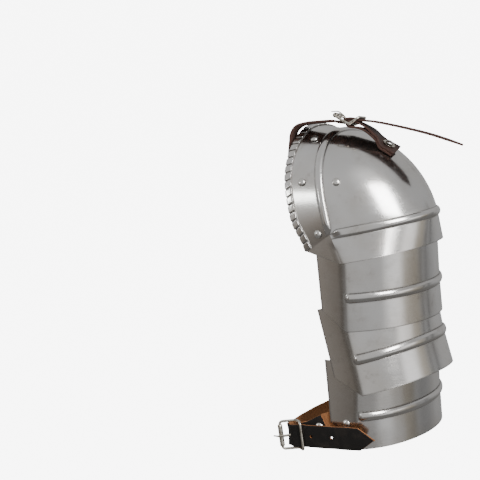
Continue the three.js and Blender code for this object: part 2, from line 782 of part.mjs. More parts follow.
// The place a given length further along a strap from its point nearest to a mark
function furtherOn(frames, mark, length) {
  const near = frames.reduce((best, f) => (f.at.distanceTo(mark) < best.at.distanceTo(mark) ? f : best));
  let left = length;
  let i = frames.indexOf(near);
  while (i + 2 < frames.length && left > frames[i].at.distanceTo(frames[i + 1].at)) {
    left -= frames[i].at.distanceTo(frames[i + 1].at);
    i += 1;
  }
  const part = left / frames[i].at.distanceTo(frames[i + 1].at);
  return { at: frames[i].at.clone().lerp(frames[i + 1].at, part), out: frames[i].out.clone() };
}

function punched(name, frames, solid, holes) {
  const tools = holes.map(({ at, out }) => drill(seat(at, out), holeRadius, leather));
  addPlate(name, tools.reduce((body, tool) => body.subtract(tool), solid), hide);
}

// A ribbon whose free end is cut to a point
function pointedStrap(frames) {
  const path = withTipStation(frames, tipLength);
  return toSolid(ribbon(path, strapWidth, leather, pointed(path, tipLength)));
}

// Build: rivets and hangers on both sides

const copSolid = toSolid(buildCop()).add(toSolid(buildRoll()));
const lameSolids = Object.fromEntries(lames.map((lame) => [lame.name, toSolid(buildLame(lame))]));
const lowerLame = lames[lames.length - 1];
const underPlate = plate + 1.5 * gap + leather / 2;
const through = underPlate + leather / 2 + gap;
const sides = [{ name: 'front', side: -1 }, { name: 'back', side: 1 }];

const bandPoint = (share, from) => archPoint(archAngle, share).lerp(edgePoint(share), from);
const below = ({ at, out }) => ({ at: at.clone().addScaledVector(out, -underPlate), out });
for (const { name, side } of sides) {
  for (const place of bandRivets) {
    const along = side * place.share;
    const ahead = bandPoint(along + 0.01, place.from).sub(bandPoint(along - 0.01, place.from));
    const out = ahead.cross(bandPoint(along, 0.6).sub(bandPoint(along, 0.3))).normalize();
    const at = bandPoint(along, place.from).addScaledVector(out, bandRivetLift);
    addRivet(`${name}_band_rivet_${place.name}`, at, out, plate + gap + 2 * bandRivetLift, ['shoulder_cop']);
  }
  const face = {
    at: archPoint(faceRivet.angle, side * faceRivet.share), out: copNormal(faceRivet.angle, side * faceRivet.share),
  };
  const hanger = `${name}_leather`;
  addRivet(`${name}_face_rivet`, face.at, face.out, through + hangerSink, ['shoulder_cop', hanger]);
  const seats = lames.map((lame) => ({
    at: lamePoint(lame, hangHeight, hangAcross, side), out: lameNormal(lame, hangHeight, hangAcross, side),
  }));
  lames.forEach((lame, i) => {
    const rivetName = `${name}_${lame.name}_rivet`;
    addRivet(rivetName, seats[i].at, seats[i].out, through, [lame.name, hanger], hiddenHead, hiddenRise);
  });
  const slid = ({ at, out }, length, tilt = 0) => {
    const down = vec(tilt, 0, -1).addScaledVector(out, out.z - tilt * out.x).normalize();
    return { at: at.clone().addScaledVector(down, length), out };
  };
  const top = { at: face.at.clone().addScaledVector(face.out, -underPlate - hangerSink), out: face.out };
  const keys = [slid(top, -9), top, slid(top, 6), ...seats.map(below)
    .flatMap((key, i) => [slid(key, -hangerFlat, hangerLean[i]), key, slid(key, hangerFlat, hangerLean[i])])];
  addPlate(hanger, toSolid(ribbon(ribbonFrames(keys, 2), hangerWidth, leather)), hide);
}

// Build: arm strap and its buckle

// A place on the flat panel of the lowest lame
function panelSeat(x, z, side) {
  const [, bead, low] = lowerLame.sections;
  const height = 1 + (z - lowerLame.slope * (x - bead.crease) - bead.z) / (low.z - bead.z);
  const section = lameSection(lowerLame, height);
  const across = (x - section.crease) / (section.crease - section.inner);
  return { at: lamePoint(lowerLame, height, across, side), out: lameNormal(lowerLame, height, -0.3, side) };
}

const armFrame = buckleBasis(vec(...armBar), vec(Math.cos(armSlope), 0, Math.sin(armSlope)), vec(0, -1, 0));
addBuckle('arm', armFrame);
const tailHeight = (x) => vec(0, armOffset, 0).applyMatrix4(armFrame).z + Math.tan(armSlope) * (x - armBar[0]);
const backSeat = panelSeat(strapRivet.x, strapRivet.z, 1);
const frontSeat = panelSeat(strapRivet.x, strapRivet.z, -1);
addRivet('arm_strap_rivet', backSeat.at, backSeat.out, through, ['lower_lame', 'arm_strap']);
addRivet('arm_buckle_strap_rivet', frontSeat.at, frontSeat.out, through, ['lower_lame', 'arm_buckle_strap']);
const armFrames = ribbonFrames([
  below(panelSeat(rootX, strapRivet.z + 1.5, 1)), below(backSeat), below(panelSeat(leaveX, strapRivet.z - 3, 1)),
  ...armWay.map(([x, y, z, ox, oy]) => ({ at: vec(x, y, z), out: vec(ox, oy, 0).normalize() })),
  ...threaded(armFrame, armOffset),
  ...armTailX.map((x) => ({ at: vec(x, armTailY, tailHeight(x)), out: vec(0, -1, 0) })),
], 2);
const armPierce = vec(pierce.x, armOffset, pierce.z).applyMatrix4(armFrame);
punched('arm_strap', armFrames, pointedStrap(armFrames).subtract(tongueHole(armFrame)),
  armHoles.map((n) => furtherOn(armFrames, armPierce, n * holePitch)));

// The fold rivet holds both layers of the short strap together behind the buckle
const foldHeight = (x) => armBar[2] + Math.tan(armSlope) * (x - armBar[0]) + foldLift * smooth(...foldLiftSpan, x);
const foldKey = (facing) => ([x, y]) => ({ at: vec(x, y, foldHeight(x)), out: vec(0, facing, 0) });
const turnedOver = ({ at, out }) => ({ at, out: out.clone().negate() });
const foldFrames = ribbonFrames([
  turnedOver(below(panelSeat(rootX, foldHeight(rootX), -1))), turnedOver(below(frontSeat)),
  ...foldFirst.map(foldKey(1)), ...folded(armFrame), ...foldSecond.map(foldKey(-1)),
], 2);
const foldOuter = vec(foldRivet.x, foldRivet.second, foldHeight(foldRivet.x) + foldRivetLift);
const foldOut = vec(foldRivet.lean, -1, 0).normalize();
const foldLayers = foldRivet.first - foldRivet.second + leather + foldSlack;
addRivet('arm_fold_rivet', foldOuter.addScaledVector(foldOut, leather / 2 + foldSlack / 4), foldOut, foldLayers, ['arm_buckle_strap']);
addPlate('arm_buckle_strap', toSolid(ribbon(foldFrames, strapWidth, leather)).subtract(tongueSlot(armFrame)), hide);

// Build: shoulder strap and its buckle

const lineAhead = vec(Math.cos(strapTurn), Math.sin(strapTurn), 0);
const lineAcross = vec(-Math.sin(strapTurn), Math.cos(strapTurn), 0);
const onLine = (along, z) => vec(tabX, 0, z).addScaledVector(lineAhead, along);
const copTop = (x) => vec(x, 0, profileZ + Math.sqrt(profileRadius ** 2 - (x - profileX) ** 2));
const copOut = (x) => copTop(x).sub(vec(profileX, 0, profileZ)).normalize();
const overDome = (along, rise) => onLine(along, copTop(tabX + along * lineAhead.x).z + rise);
const bank = lineAcross.clone().multiplyScalar(Math.sin(strapBank)).setZ(Math.cos(strapBank));
const shoulderBar = overDome(shoulderBarAlong, shoulderBarRise);
const shoulderFrame = buckleBasis(shoulderBar, lineAhead, bank);
addBuckle('shoulder', shoulderFrame);
const leaning = (lean) => bank.clone().multiplyScalar(1 - lean).addScaledVector(lineAhead, -lean).normalize();
const shoulderFrames = ribbonFrames([
  ...shoulderWay.map(([along, rise, lean]) => ({ at: onLine(along, shoulderBar.z + rise), out: leaning(lean) })),
  ...threaded(shoulderFrame, 0),
  ...shoulderTail.map(([along, rise]) => ({ at: onLine(along, shoulderBar.z + rise), out: bank })),
], 2);
const shoulderPierce = vec(pierce.x, 0, pierce.z).applyMatrix4(shoulderFrame);
punched('shoulder_strap', shoulderFrames, pointedStrap(shoulderFrames).subtract(tongueHole(shoulderFrame)), [
  furtherOn(shoulderFrames, shoulderFrames[0].at, rootHoleFrom),
  ...shoulderHoles.map((n) => furtherOn(shoulderFrames, shoulderPierce, n * holePitch)),
]);

// The short strap lies twice over the cop, riveted through it
const tabKey = (along, layer, facing) => {
  const x = tabX + along * lineAhead.x;
  const lift = gap + leather / 2 + layer * (leather + gap);
  return {
    at: copTop(x).setY(along * lineAhead.y).addScaledVector(copOut(x), lift),
    out: copOut(x).multiplyScalar(facing),
  };
};
const tabWay = (facing) => ([along, rise, lean]) => ({
  at: overDome(along, rise),
  out: bank.clone().multiplyScalar(1 - lean).addScaledVector(lineAhead, lean).normalize().multiplyScalar(facing),
});
const tabFrames = ribbonFrames([
  tabKey(tabEnd - 1, 0, -1), tabKey(0, 0, -1), tabKey(-4, 0, -1), ...tabLower.map(tabWay(-1)),
  ...folded(shoulderFrame), ...tabUpper.map(tabWay(1)),
  tabKey(-4, 1.03, 1), tabKey(0, 1, 1), tabKey(tabEnd, 1.2, 1),
], 2);
const tabStack = 2 * (leather + gap);
const tabTop = copTop(tabX).addScaledVector(copOut(tabX), tabStack + 2 * gap + washerThick);
addRivet('tab_rivet', tabTop, copOut(tabX), plate + tabStack + 4 * gap + washerThick,
  ['shoulder_cop', 'shoulder_buckle_strap', 'tab_washer']);
const washer = new THREE.CylinderGeometry(washerRadius, washerRadius, washerThick, 16);
washer.rotateX(Math.PI / 2);
washer.applyMatrix4(seat(tabTop.clone().addScaledVector(copOut(tabX), -washerThick / 2), copOut(tabX)));
addPlate('tab_washer', toSolid(washer), nickel);
const tab = toSolid(ribbon(tabFrames, strapWidth, leather)).subtract(tongueSlot(shoulderFrame));
addPlate('shoulder_buckle_strap', tab, hide);

addPlate('shoulder_cop', copSolid, steel);
for (const lame of lames) addPlate(lame.name, lameSolids[lame.name], steel);

pauldron.position.set(-profileX, 0, -(profileZ + profileRadius - plate));

export default pauldron;
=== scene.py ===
"""Dressed model of a sheet-steel shoulder pauldron: fine plates, leather, hardware and a plain studio."""

import logging
import math
from collections.abc import Callable, Iterator
from contextlib import contextmanager
from dataclasses import dataclass, field
from enum import Enum

import bmesh
import bpy
import numpy as np
from bpy.types import Material, Mesh, Node, NodeSocket, NodeTree, Object
from mathutils import Matrix, Vector


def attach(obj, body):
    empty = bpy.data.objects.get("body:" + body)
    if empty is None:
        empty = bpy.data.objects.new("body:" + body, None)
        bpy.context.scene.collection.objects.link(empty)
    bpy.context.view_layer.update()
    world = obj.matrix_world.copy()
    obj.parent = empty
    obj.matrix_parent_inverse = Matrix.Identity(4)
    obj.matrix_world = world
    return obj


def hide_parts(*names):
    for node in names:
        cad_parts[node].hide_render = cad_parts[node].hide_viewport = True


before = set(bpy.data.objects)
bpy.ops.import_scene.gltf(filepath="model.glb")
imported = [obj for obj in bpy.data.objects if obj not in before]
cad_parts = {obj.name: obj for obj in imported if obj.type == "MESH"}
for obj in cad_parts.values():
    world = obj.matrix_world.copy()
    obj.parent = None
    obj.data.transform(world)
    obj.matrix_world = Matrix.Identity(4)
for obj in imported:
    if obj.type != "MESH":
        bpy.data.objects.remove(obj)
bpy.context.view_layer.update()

log = logging.getLogger("pauldron")

# Short names for types; a key is a place with the direction that its outer side faces
Array = np.ndarray
Number = float | Array
Value = float | NodeSocket
Key = tuple[Array, Array]

# Shapes are worked out in millimetres, with the arm's axis at x = y = 0, and moved to the row frame last
MM = 0.001
BODY = "root"

# Sizes shared by plates and leather
PLATE = 1.2
GAP = 0.3
LEATHER = 2.5
BOW = math.radians(17.5)
PROFILE_X = -35.5
PROFILE_Z = -28.9
PROFILE_RADIUS = 127.6
SHIFT = np.array([-PROFILE_X, 0.0, -(PROFILE_Z + PROFILE_RADIUS - PLATE)])
UNDER_PLATE = PLATE + 1.5 * GAP + LEATHER / 2
THROUGH = UNDER_PLATE + LEATHER / 2 + GAP

# Both long straps end in a point of this length
TIP = 19.0

# Fineness of round copies and of curves that are spread evenly
BALL_SEGMENTS = 28
HEAD_RINGS = 18
SHANK_SIDES = 20
TAB_RINGS = 14
HOLE_SIDES = 24
CURVE_SAMPLES = 4000

# Shares of a rivet head: its dome over its rim, and its lower half pressed flat
DOME_SHARE = 0.88
PRESSED_SHARE = 0.10

# Powers that square a tab's outline along the edge, across it and upwards
TAB_POWERS = (0.22, 0.45, 0.3)


class Side(Enum):
    """The two ends of the part, front and back, with the sign of their Y."""

    FRONT = -1
    BACK = 1


class Slot(Enum):
    """Material slots of the record."""

    PLATE_STEEL = "plate_steel"
    RIVET_STEEL = "rivet_steel"
    DARK_LEATHER = "dark_leather"
    BROWN_LEATHER = "brown_leather"
    BUCKLE_METAL = "buckle_metal"


def mix(a: Number, b: Number, t: Number) -> Number:
    """Blend from a to b by the share t."""
    return a + (b - a) * t


def smooth(low: float, high: float, t: Array) -> Array:
    """Rise from 0 at low to 1 at high with a soft start and end."""
    s = np.clip((np.asarray(t, float) - low) / (high - low), 0.0, 1.0)
    return s * s * (3 - 2 * s)


def signed_power(value: Array, power: float) -> Array:
    """Raise the size of a value to a power and keep its sign."""
    return np.sign(value) * np.abs(value) ** power


def unit(vector: Array) -> Array:
    """Scale vectors to length one along their last axis."""
    length = np.linalg.norm(vector, axis=-1, keepdims=True)
    return vector / np.maximum(length, 1e-12)


def vec(*values: float) -> Array:
    """Make a vector of floats."""
    return np.array(values, float)


def eased(distance: Array, reach: float, turn: float) -> Array:
    """How far a fold is rounded off inwards at a distance from its line.

    Args:
        distance: Distance from the fold along the surface, in millimetres.
        reach: Distance at which the rounding starts.
        turn: Angle of the fold.

    Returns:
        Depth in millimetres, with both sides tangent at the start of the rounding.
    """
    return turn * np.maximum(0.0, reach - np.abs(distance)) ** 2 / (4 * reach)


def line_mark(distance: Array, width: float) -> Array:
    """Shade of a dark line: 1 on it, fading over its width."""
    return np.exp(-((np.asarray(distance, float) / width) ** 2))


def way_marks(points: Array) -> Array:
    """Length from the first point of a path to each of its points."""
    return np.concatenate([[0.0], np.cumsum(np.linalg.norm(np.diff(points, axis=0), axis=-1))])


def fine_steps(count: int, extra: tuple) -> Array:
    """Even shares from 0 to 1 with some extra ones between them."""
    return np.unique(np.round(np.concatenate([np.linspace(0, 1, count), extra]), 5))


@contextmanager
def edited(mesh: Mesh) -> Iterator[bmesh.types.BMesh]:
    """Open a mesh for editing and write it back."""
    work = bmesh.new()
    work.from_mesh(mesh)
    yield work
    work.to_mesh(mesh)
    work.free()


class Skin:
    """Grids of points that make one mesh, with a value of painted shade for dark lines where shade falls."""

    def __init__(self) -> None:
        """Start an empty skin."""
        self.points: list[Array] = []
        self.shades: list[Array] = []
        self.faces: list[tuple[int, ...]] = []
        self.count = 0

    def patch(self, points: Array, shade: Number = 0.0, flip: bool = False) -> None:
        """Add a grid of quads.

        Args:
            points: Rows by columns by three, in millimetres.
            shade: Painted shade, one value or rows by columns, 0 none to 1 full.
            flip: Turns the faces over.
        """
        rows, columns = points.shape[:2]
        start = np.arange(rows - 1)[:, None] * columns + np.arange(columns - 1)[None, :] + self.count
        quads = np.stack([start, start + 1, start + columns + 1, start + columns], -1).reshape(-1, 4)
        if flip:
            quads = quads[:, ::-1]
        self.points.append(points.reshape(-1, 3))
        self.shades.append(np.broadcast_to(shade, points.shape[:2]).reshape(-1))
        self.faces.extend(map(tuple, quads.tolist()))
        self.count += rows * columns

    def cap(self, ring: Array, middle: Array, flip: bool, shade: float = 0.0) -> None:
        """Close a ring with a fan of faces.

        Args:
            ring: Points of the ring, the first one repeated at its end.
            middle: Point that the faces meet in.
            flip: Turns the faces over.
            shade: Painted shade, 0 none to 1 full.
        """
        self.patch(np.stack([ring, np.broadcast_to(middle, ring.shape)]), shade, flip)

    def object(self, name: str, merge: float = 0.02) -> Object:
        """Make the Blender object.

        Args:
            name: Name of the object.
            merge: Distance in millimetres under which points become one.

        Returns:
            The linked object, in metres of the row frame.
        """
        mesh = bpy.data.meshes.new(name)
        points = (np.concatenate(self.points) + SHIFT) * MM
        mesh.from_pydata(points.tolist(), [], self.faces)
        # The seam attribute carries the painted shade: dark lines at bead feet, slits and free edges
        shade = mesh.attributes.new("seam", "FLOAT", "POINT")
        shade.data.foreach_set("value", np.concatenate(self.shades))
        with edited(mesh) as work:
            bmesh.ops.remove_doubles(work, verts=work.verts, dist=merge * MM)
            bmesh.ops.dissolve_degenerate(work, edges=work.edges, dist=merge * MM / 4)
        return link(name, mesh)


def link(name: str, mesh: Mesh) -> Object:
    """Put a mesh into the scene as an object."""
    piece = bpy.data.objects.new(name, mesh)
    bpy.context.scene.collection.objects.link(piece)
    return piece


def settle(piece: Object) -> Object:
    """Turn an object's modifiers into plain mesh.

    Args:
        piece: Object with live modifiers.

    Returns:
        The same object with the finished mesh.
    """
    graph = bpy.context.evaluated_depsgraph_get()
    finished = bpy.data.meshes.new_from_object(piece.evaluated_get(graph), depsgraph=graph)
    piece.modifiers.clear()
    piece.data = finished
    return piece


def polish(piece: Object, sharp: float = 40.0) -> None:
    """Shade a mesh smooth, but keep edges over an angle in degrees sharp."""
    piece.data.shade_smooth()
    piece.data.set_sharp_from_angle(angle=math.radians(sharp))


def walled(skin: Skin, node: str) -> Object:
    """Give a sheet its wall on the inner side.

    Args:
        skin: Outer surface.
        node: CAD node that names the piece.

    Returns:
        A closed plate.
    """
    piece = skin.object(node + "_plate")
    wall = piece.modifiers.new("wall", "SOLIDIFY")
    wall.thickness = PLATE * MM
    wall.offset = -1.0
    settle(piece)
    polish(piece)
    return piece


@dataclass
class Tree:
    """Short hand for building node trees of shaders, the world and geometry."""

    nodes: bpy.types.Nodes
    links: bpy.types.NodeLinks

    def add(self, kind: str, sockets: dict | None = None, **settings: object) -> Node:
        """Add a node.

        Args:
            kind: Blender's node type.
            sockets: Input names or numbers with a value or a socket to link.
            **settings: Properties of the node.

        Returns:
            The new node.
        """
        node = self.nodes.new(kind)
        for key, value in settings.items():
            setattr(node, key, value)
        for key, value in (sockets or {}).items():
            self.feed(node.inputs[key], value)
        return node

    def feed(self, socket: NodeSocket, value: Value | tuple) -> None:
        """Link a socket, or set its value."""
        if isinstance(value, NodeSocket):
            self.links.new(value, socket)
        else:
            socket.default_value = value

    def place(self) -> NodeSocket:
        """Return object coordinates."""
        return self.add("ShaderNodeTexCoord").outputs["Object"]

    def stretched(self, scale: tuple, turn: tuple = (0.0, 0.0, 0.0)) -> NodeSocket:
        """Return object coordinates turned and stretched."""
        sockets = {"Vector": self.place(), "Scale": scale, "Rotation": turn}
        return self.add("ShaderNodeMapping", sockets).outputs[0]

    def attribute(self, name: str) -> NodeSocket:
        """Return a float attribute of the mesh."""
        return self.add("ShaderNodeAttribute", attribute_name=name).outputs["Fac"]

    def math(self, operation: str, a: Value, b: Value = 0.0) -> NodeSocket:
        """Add a math node and return its value."""
        return self.add("ShaderNodeMath", {0: a, 1: b}, operation=operation).outputs[0]

    def power(self, value: NodeSocket, power: float) -> NodeSocket:
        """Return the signed power of a number."""
        size = self.math("POWER", self.math("ABSOLUTE", value), power)
        return self.math("MULTIPLY", size, self.math("SIGN", value))

    def noise(self, scale: float, detail: float, roughness: float, place: NodeSocket) -> NodeSocket:
        """Add a noise texture and return its value."""
        sockets = {"Vector": place, "Scale": scale, "Detail": detail, "Roughness": roughness}
        return self.add("ShaderNodeTexNoise", sockets).outputs[0]

    def ramp(self, value: NodeSocket, stops: list[tuple[float, tuple]]) -> NodeSocket:
        """Add a colour ramp with stops of place and colour, and return its colour."""
        node = self.add("ShaderNodeValToRGB", {0: value})
        while len(node.color_ramp.elements) < len(stops):
            node.color_ramp.elements.new(0.5)
        for element, (place, colour) in zip(node.color_ramp.elements, stops):
            element.position = place
            element.color = (*colour, 1.0)
        return node.outputs[0]

    def span(self, value: NodeSocket, low: float, high: float, start: float, end: float) -> NodeSocket:
        """Map a value from one range to another, held at both ends."""
        return self.add("ShaderNodeMapRange", {0: value, 1: low, 2: high, 3: start, 4: end}).outputs[0]

    def blend(self, share: Value, a: NodeSocket | tuple, b: NodeSocket | tuple) -> NodeSocket:
        """Mix two colours by a share and return the colour."""
        paint = [value if isinstance(value, NodeSocket) else (*value, 1.0) for value in (a, b)]
        return self.add("ShaderNodeMix", {0: share, 6: paint[0], 7: paint[1]}, data_type="RGBA").outputs[2]

    def bump(self, height: NodeSocket, depth: float, normal: NodeSocket | None = None) -> NodeSocket:
        """Add relief of a depth in millimetres on a normal and return the new normal."""
        node = self.add("ShaderNodeBump", {"Height": height, "Distance": depth * MM, "Strength": 1.0})
        if normal is not None:
            self.links.new(normal, node.inputs["Normal"])
        return node.outputs[0]

    def combine(self, x: Value = 0.0, y: Value = 0.0, z: Value = 0.0) -> NodeSocket:
        """Make a vector of three numbers."""
        return self.add("ShaderNodeCombineXYZ", {0: x, 1: y, 2: z}).outputs[0]

    def direction(self, name: str) -> NodeSocket:
        """Return a vector attribute of the points."""
        node = self.add("GeometryNodeInputNamedAttribute", {"Name": name}, data_type="FLOAT_VECTOR")
        return node.outputs[0]

    def upright(self) -> NodeSocket:
        """Return the turn that stands a copy along its point's direction up."""
        sockets = {"Vector": self.direction("up")}
        return self.add("FunctionNodeAlignRotationToVector", sockets, axis="Z").outputs[0]

    def moved(self, geometry: NodeSocket, **sockets: NodeSocket) -> NodeSocket:
        """Move, turn or scale a geometry."""
        return self.add("GeometryNodeTransform", {"Geometry": geometry, **sockets}).outputs[0]

    def rod(self, sides: int, radius: NodeSocket, length: NodeSocket) -> NodeSocket:
        """Make a round rod along Z."""
        sockets = {"Vertices": sides, "Radius": radius, "Depth": length}
        return self.add("GeometryNodeMeshCylinder", sockets).outputs[0]

    def ball(self, rings: int, shape: Callable[..., NodeSocket]) -> NodeSocket:
        """Make a ball and move each of its points.

        Args:
            rings: Rings of the ball, whose radius is one.
            shape: Function from a point's x, y and z to its new place.

        Returns:
            The geometry.
        """
        sockets = {"Segments": BALL_SEGMENTS, "Rings": rings, "Radius": 1.0}
        ball = self.add("GeometryNodeMeshUVSphere", sockets).outputs[0]
        spot = self.add("ShaderNodeSeparateXYZ", {0: self.add("GeometryNodeInputPosition").outputs[0]})
        return self.add("GeometryNodeSetPosition", {
            "Geometry": ball, "Position": shape(*spot.outputs)}).outputs[0]


def shader(name: str) -> tuple[Material, Tree, Node]:
    """Start a material.

    Args:
        name: Name of the material.

    Returns:
        The material, its tree and its principled shader.
    """
    material = bpy.data.materials.new(name)
    material.use_nodes = True
    tree = Tree(material.node_tree.nodes, material.node_tree.links)
    return material, tree, material.node_tree.nodes["Principled BSDF"]


@dataclass(frozen=True)
class SteelFinish:
    """Satin-polished sheet steel with smudges, fine scratches, soft dents and painted shade along the seam
    lines.
    """

    name: str
    light: tuple = (0.63, 0.62, 0.61)
    warm: tuple = (0.57, 0.545, 0.515)
    stain: tuple = (0.36, 0.335, 0.31)
    # Dark tone that the painted shade along the seam lines blends to
    painted_shade_tone: tuple = (0.07, 0.06, 0.052)
    cloud_scale: float = 22.0
    patch_scale: float = 75.0
    satin: float = 0.16
    smudge: float = 0.06
    seam_dullness: float = 0.25
    dent_scale: float = 24.0
    dent_depth: float = 0.16
    scratch_depth: float = 0.002
    streaks: tuple = (60.0, 60.0, 900.0)
    fine_scratches: tuple = (180.0, 180.0, 3200.0)
    stray_scratches: tuple = (2600.0, 90.0, 240.0)

    def material(self) -> Material:
        """Build the material."""
        material, tree, principled = shader(self.name)
        place = tree.place()
        cloud = tree.noise(self.cloud_scale, 4.0, 0.55, place)
        patchy = tree.noise(self.patch_scale, 6.0, 0.65, place)
        # Painted shade: the seam attribute darkens bead feet, slits and free edges towards a dark tone,
        # varied by noise
        seam = tree.attribute("seam")
        clouded = tree.span(cloud, 0.42, 0.62, 0.1, 1.0)
        stain = tree.math("MULTIPLY", tree.span(patchy, 0.54, 0.70, 0.0, 0.55), clouded)
        varied_painted_shade = tree.math("MULTIPLY", seam, tree.span(patchy, 0.30, 0.62, 0.55, 1.0))
        colour = tree.blend(tree.span(cloud, 0.38, 0.68, 0.0, 1.0), self.light, self.warm)
        colour = tree.blend(stain, colour, self.stain)
        tree.feed(principled.inputs["Base Color"], tree.blend(varied_painted_shade, colour, self.painted_shade_tone))
        principled.inputs["Metallic"].default_value = 1.0
        streak = tree.noise(1.0, 5.0, 0.7, tree.stretched(self.streaks))
        satin = tree.math("ADD", tree.span(patchy, 0.35, 0.75, self.satin, self.satin + self.smudge),
                          tree.span(streak, 0.35, 0.65, -0.02, 0.03))
        dull = tree.math("MULTIPLY", seam, self.seam_dullness)
        tree.feed(principled.inputs["Roughness"], tree.math("ADD", satin, dull))
        fine = tree.noise(1.0, 4.0, 0.6, tree.stretched(self.fine_scratches, (0.1, 0.05, 0.0)))
        stray = tree.noise(1.0, 2.0, 0.5, tree.stretched(self.stray_scratches, (0.3, 0.9, 0.5)))
        normal = tree.bump(tree.noise(self.dent_scale, 1.0, 0.4, place), self.dent_depth)
        normal = tree.bump(fine, self.scratch_depth, normal)
        normal = tree.bump(tree.span(stray, 0.68, 0.76, 0.0, 1.0), self.scratch_depth, normal)
        tree.feed(principled.inputs["Normal"], normal)
        return material


@dataclass(frozen=True)
class LeatherFinish:
    """Strap leather: waxed grain, raw cut edges and a suede flesh side."""

    name: str
    grain: tuple
    worn: tuple
    edge: tuple
    flesh: tuple
    pore: tuple = (0.01, 0.007, 0.006)
    gloss: float = 0.5
    dulled: float = 0.16
    raw_dullness: float = 0.35
    dullest: float = 0.95
    specular: float = 0.28
    cloud_scale: float = 90.0
    pebble_scale: float = 950.0
    fibre_scale: float = 1500.0
    cloud_depth: float = 0.35
    pebble_depth: float = 0.08
    fibre_depth: float = 0.07

    def material(self) -> Material:
        """Build the material."""
        material, tree, principled = shader(self.name)
        place = tree.place()
        cloud = tree.noise(self.cloud_scale, 4.0, 0.6, place)
        sockets = {"Vector": place, "Scale": self.pebble_scale}
        pebble = tree.add("ShaderNodeTexVoronoi", sockets).outputs["Distance"]
        fibre = tree.noise(self.fibre_scale, 4.0, 0.7, place)
        grain_side = tree.attribute("grain")
        top = tree.blend(tree.span(cloud, 0.5, 0.75, 0.0, 0.8), self.grain, self.worn)
        top = tree.blend(tree.span(pebble, 0.0, 0.5, 0.35, 0.0), top, self.pore)
        raw = tree.blend(tree.span(fibre, 0.3, 0.7, 0.0, 1.0), self.edge, self.flesh)
        cut = tree.blend(tree.span(cloud, 0.3, 0.7, 0.0, 0.6), self.edge, raw)
        raw = tree.blend(tree.attribute("flesh"), cut, raw)
        tree.feed(principled.inputs["Base Color"], tree.blend(grain_side, raw, top))
        rough = tree.math("ADD", tree.span(cloud, 0.3, 0.7, self.gloss, self.gloss + self.dulled),
                          tree.span(grain_side, 0.0, 1.0, self.raw_dullness, 0.0))
        tree.feed(principled.inputs["Roughness"], tree.math("MINIMUM", rough, self.dullest))
        principled.inputs["Specular IOR Level"].default_value = self.specular
        relief = tree.bump(pebble, self.pebble_depth)
        relief = tree.bump(fibre, self.fibre_depth, relief)
        tree.feed(principled.inputs["Normal"], tree.bump(cloud, self.cloud_depth, relief))
        return material


@dataclass(frozen=True)
class HardwareFinish:
    """Plated or bare hardware metal with rubbed and dull places."""

    name: str
    bright: tuple
    dull: tuple
    gloss: float
    dull_gloss: float
    rub_scale: float = 260.0
    dimple_scale: float = 420.0
    dimple_depth: float = 0.05
    grain_scale: float = 2600.0
    grain_depth: float = 0.012

    def material(self) -> Material:
        """Build the material."""
        material, tree, principled = shader(self.name)
        place = tree.place()
        rubbed = tree.noise(self.rub_scale, 5.0, 0.6, place)
        share = tree.span(rubbed, 0.42, 0.66, 0.0, 1.0)
        tree.feed(principled.inputs["Base Color"], tree.blend(share, self.bright, self.dull))
        principled.inputs["Metallic"].default_value = 1.0
        tree.feed(principled.inputs["Roughness"], tree.span(rubbed, 0.38, 0.7, self.gloss, self.dull_gloss))
        relief = tree.bump(tree.noise(self.dimple_scale, 2.0, 0.5, place), self.dimple_depth)
        relief = tree.bump(tree.noise(self.grain_scale, 2.0, 0.5, place), self.grain_depth, relief)
        tree.feed(principled.inputs["Normal"], relief)
        return material


@dataclass
class GeometryTree:
    """A Geometry Nodes tree with named inputs, run once on a piece."""

    name: str
    tree: Tree = field(init=False)
    group: NodeTree = field(init=False)
    inputs: Node = field(init=False)

    def __post_init__(self) -> None:
        """Make the empty tree with its geometry sockets."""
        self.group = bpy.data.node_groups.new(self.name, "GeometryNodeTree")
        self.group.interface.new_socket("Geometry", in_out="OUTPUT", socket_type="NodeSocketGeometry")
        self.group.interface.new_socket("Geometry", in_out="INPUT", socket_type="NodeSocketGeometry")
        self.tree = Tree(self.group.nodes, self.group.links)
        self.inputs = self.group.nodes.new("NodeGroupInput")

    def input(self, name: str, kind: str) -> NodeSocket:
        """Add a named input of a kind such as Float and return its socket."""
        self.group.interface.new_socket(name, in_out="INPUT", socket_type="NodeSocket" + kind)
        return self.inputs.outputs[name]

    def close(self, geometry: NodeSocket, material: NodeSocket) -> None:
        """End the tree in Realize Instances and Set Material."""
        real = self.tree.add("GeometryNodeRealizeInstances", {0: geometry}).outputs[0]
        done = self.tree.add("GeometryNodeSetMaterial", {"Geometry": real, "Material": material}).outputs[0]
        self.tree.add("NodeGroupOutput", {0: done})

    def run(self, piece: Object, **values: object) -> Object:
        """Run the tree on a piece and keep the plain mesh.

        Args:
            piece: Object whose mesh goes in.
            **values: Inputs by name, with _ for a space.

        Returns:
            The same object with the finished mesh.
        """
        modifier = piece.modifiers.new(self.name, "NODES")
        modifier.node_group = self.group
        sockets = {item.name: item for item in self.group.interface.items_tree if item.in_out == "INPUT"}
        for name, value in values.items():
            modifier[sockets[name.replace("_", " ")].identifier] = value
        return settle(piece)


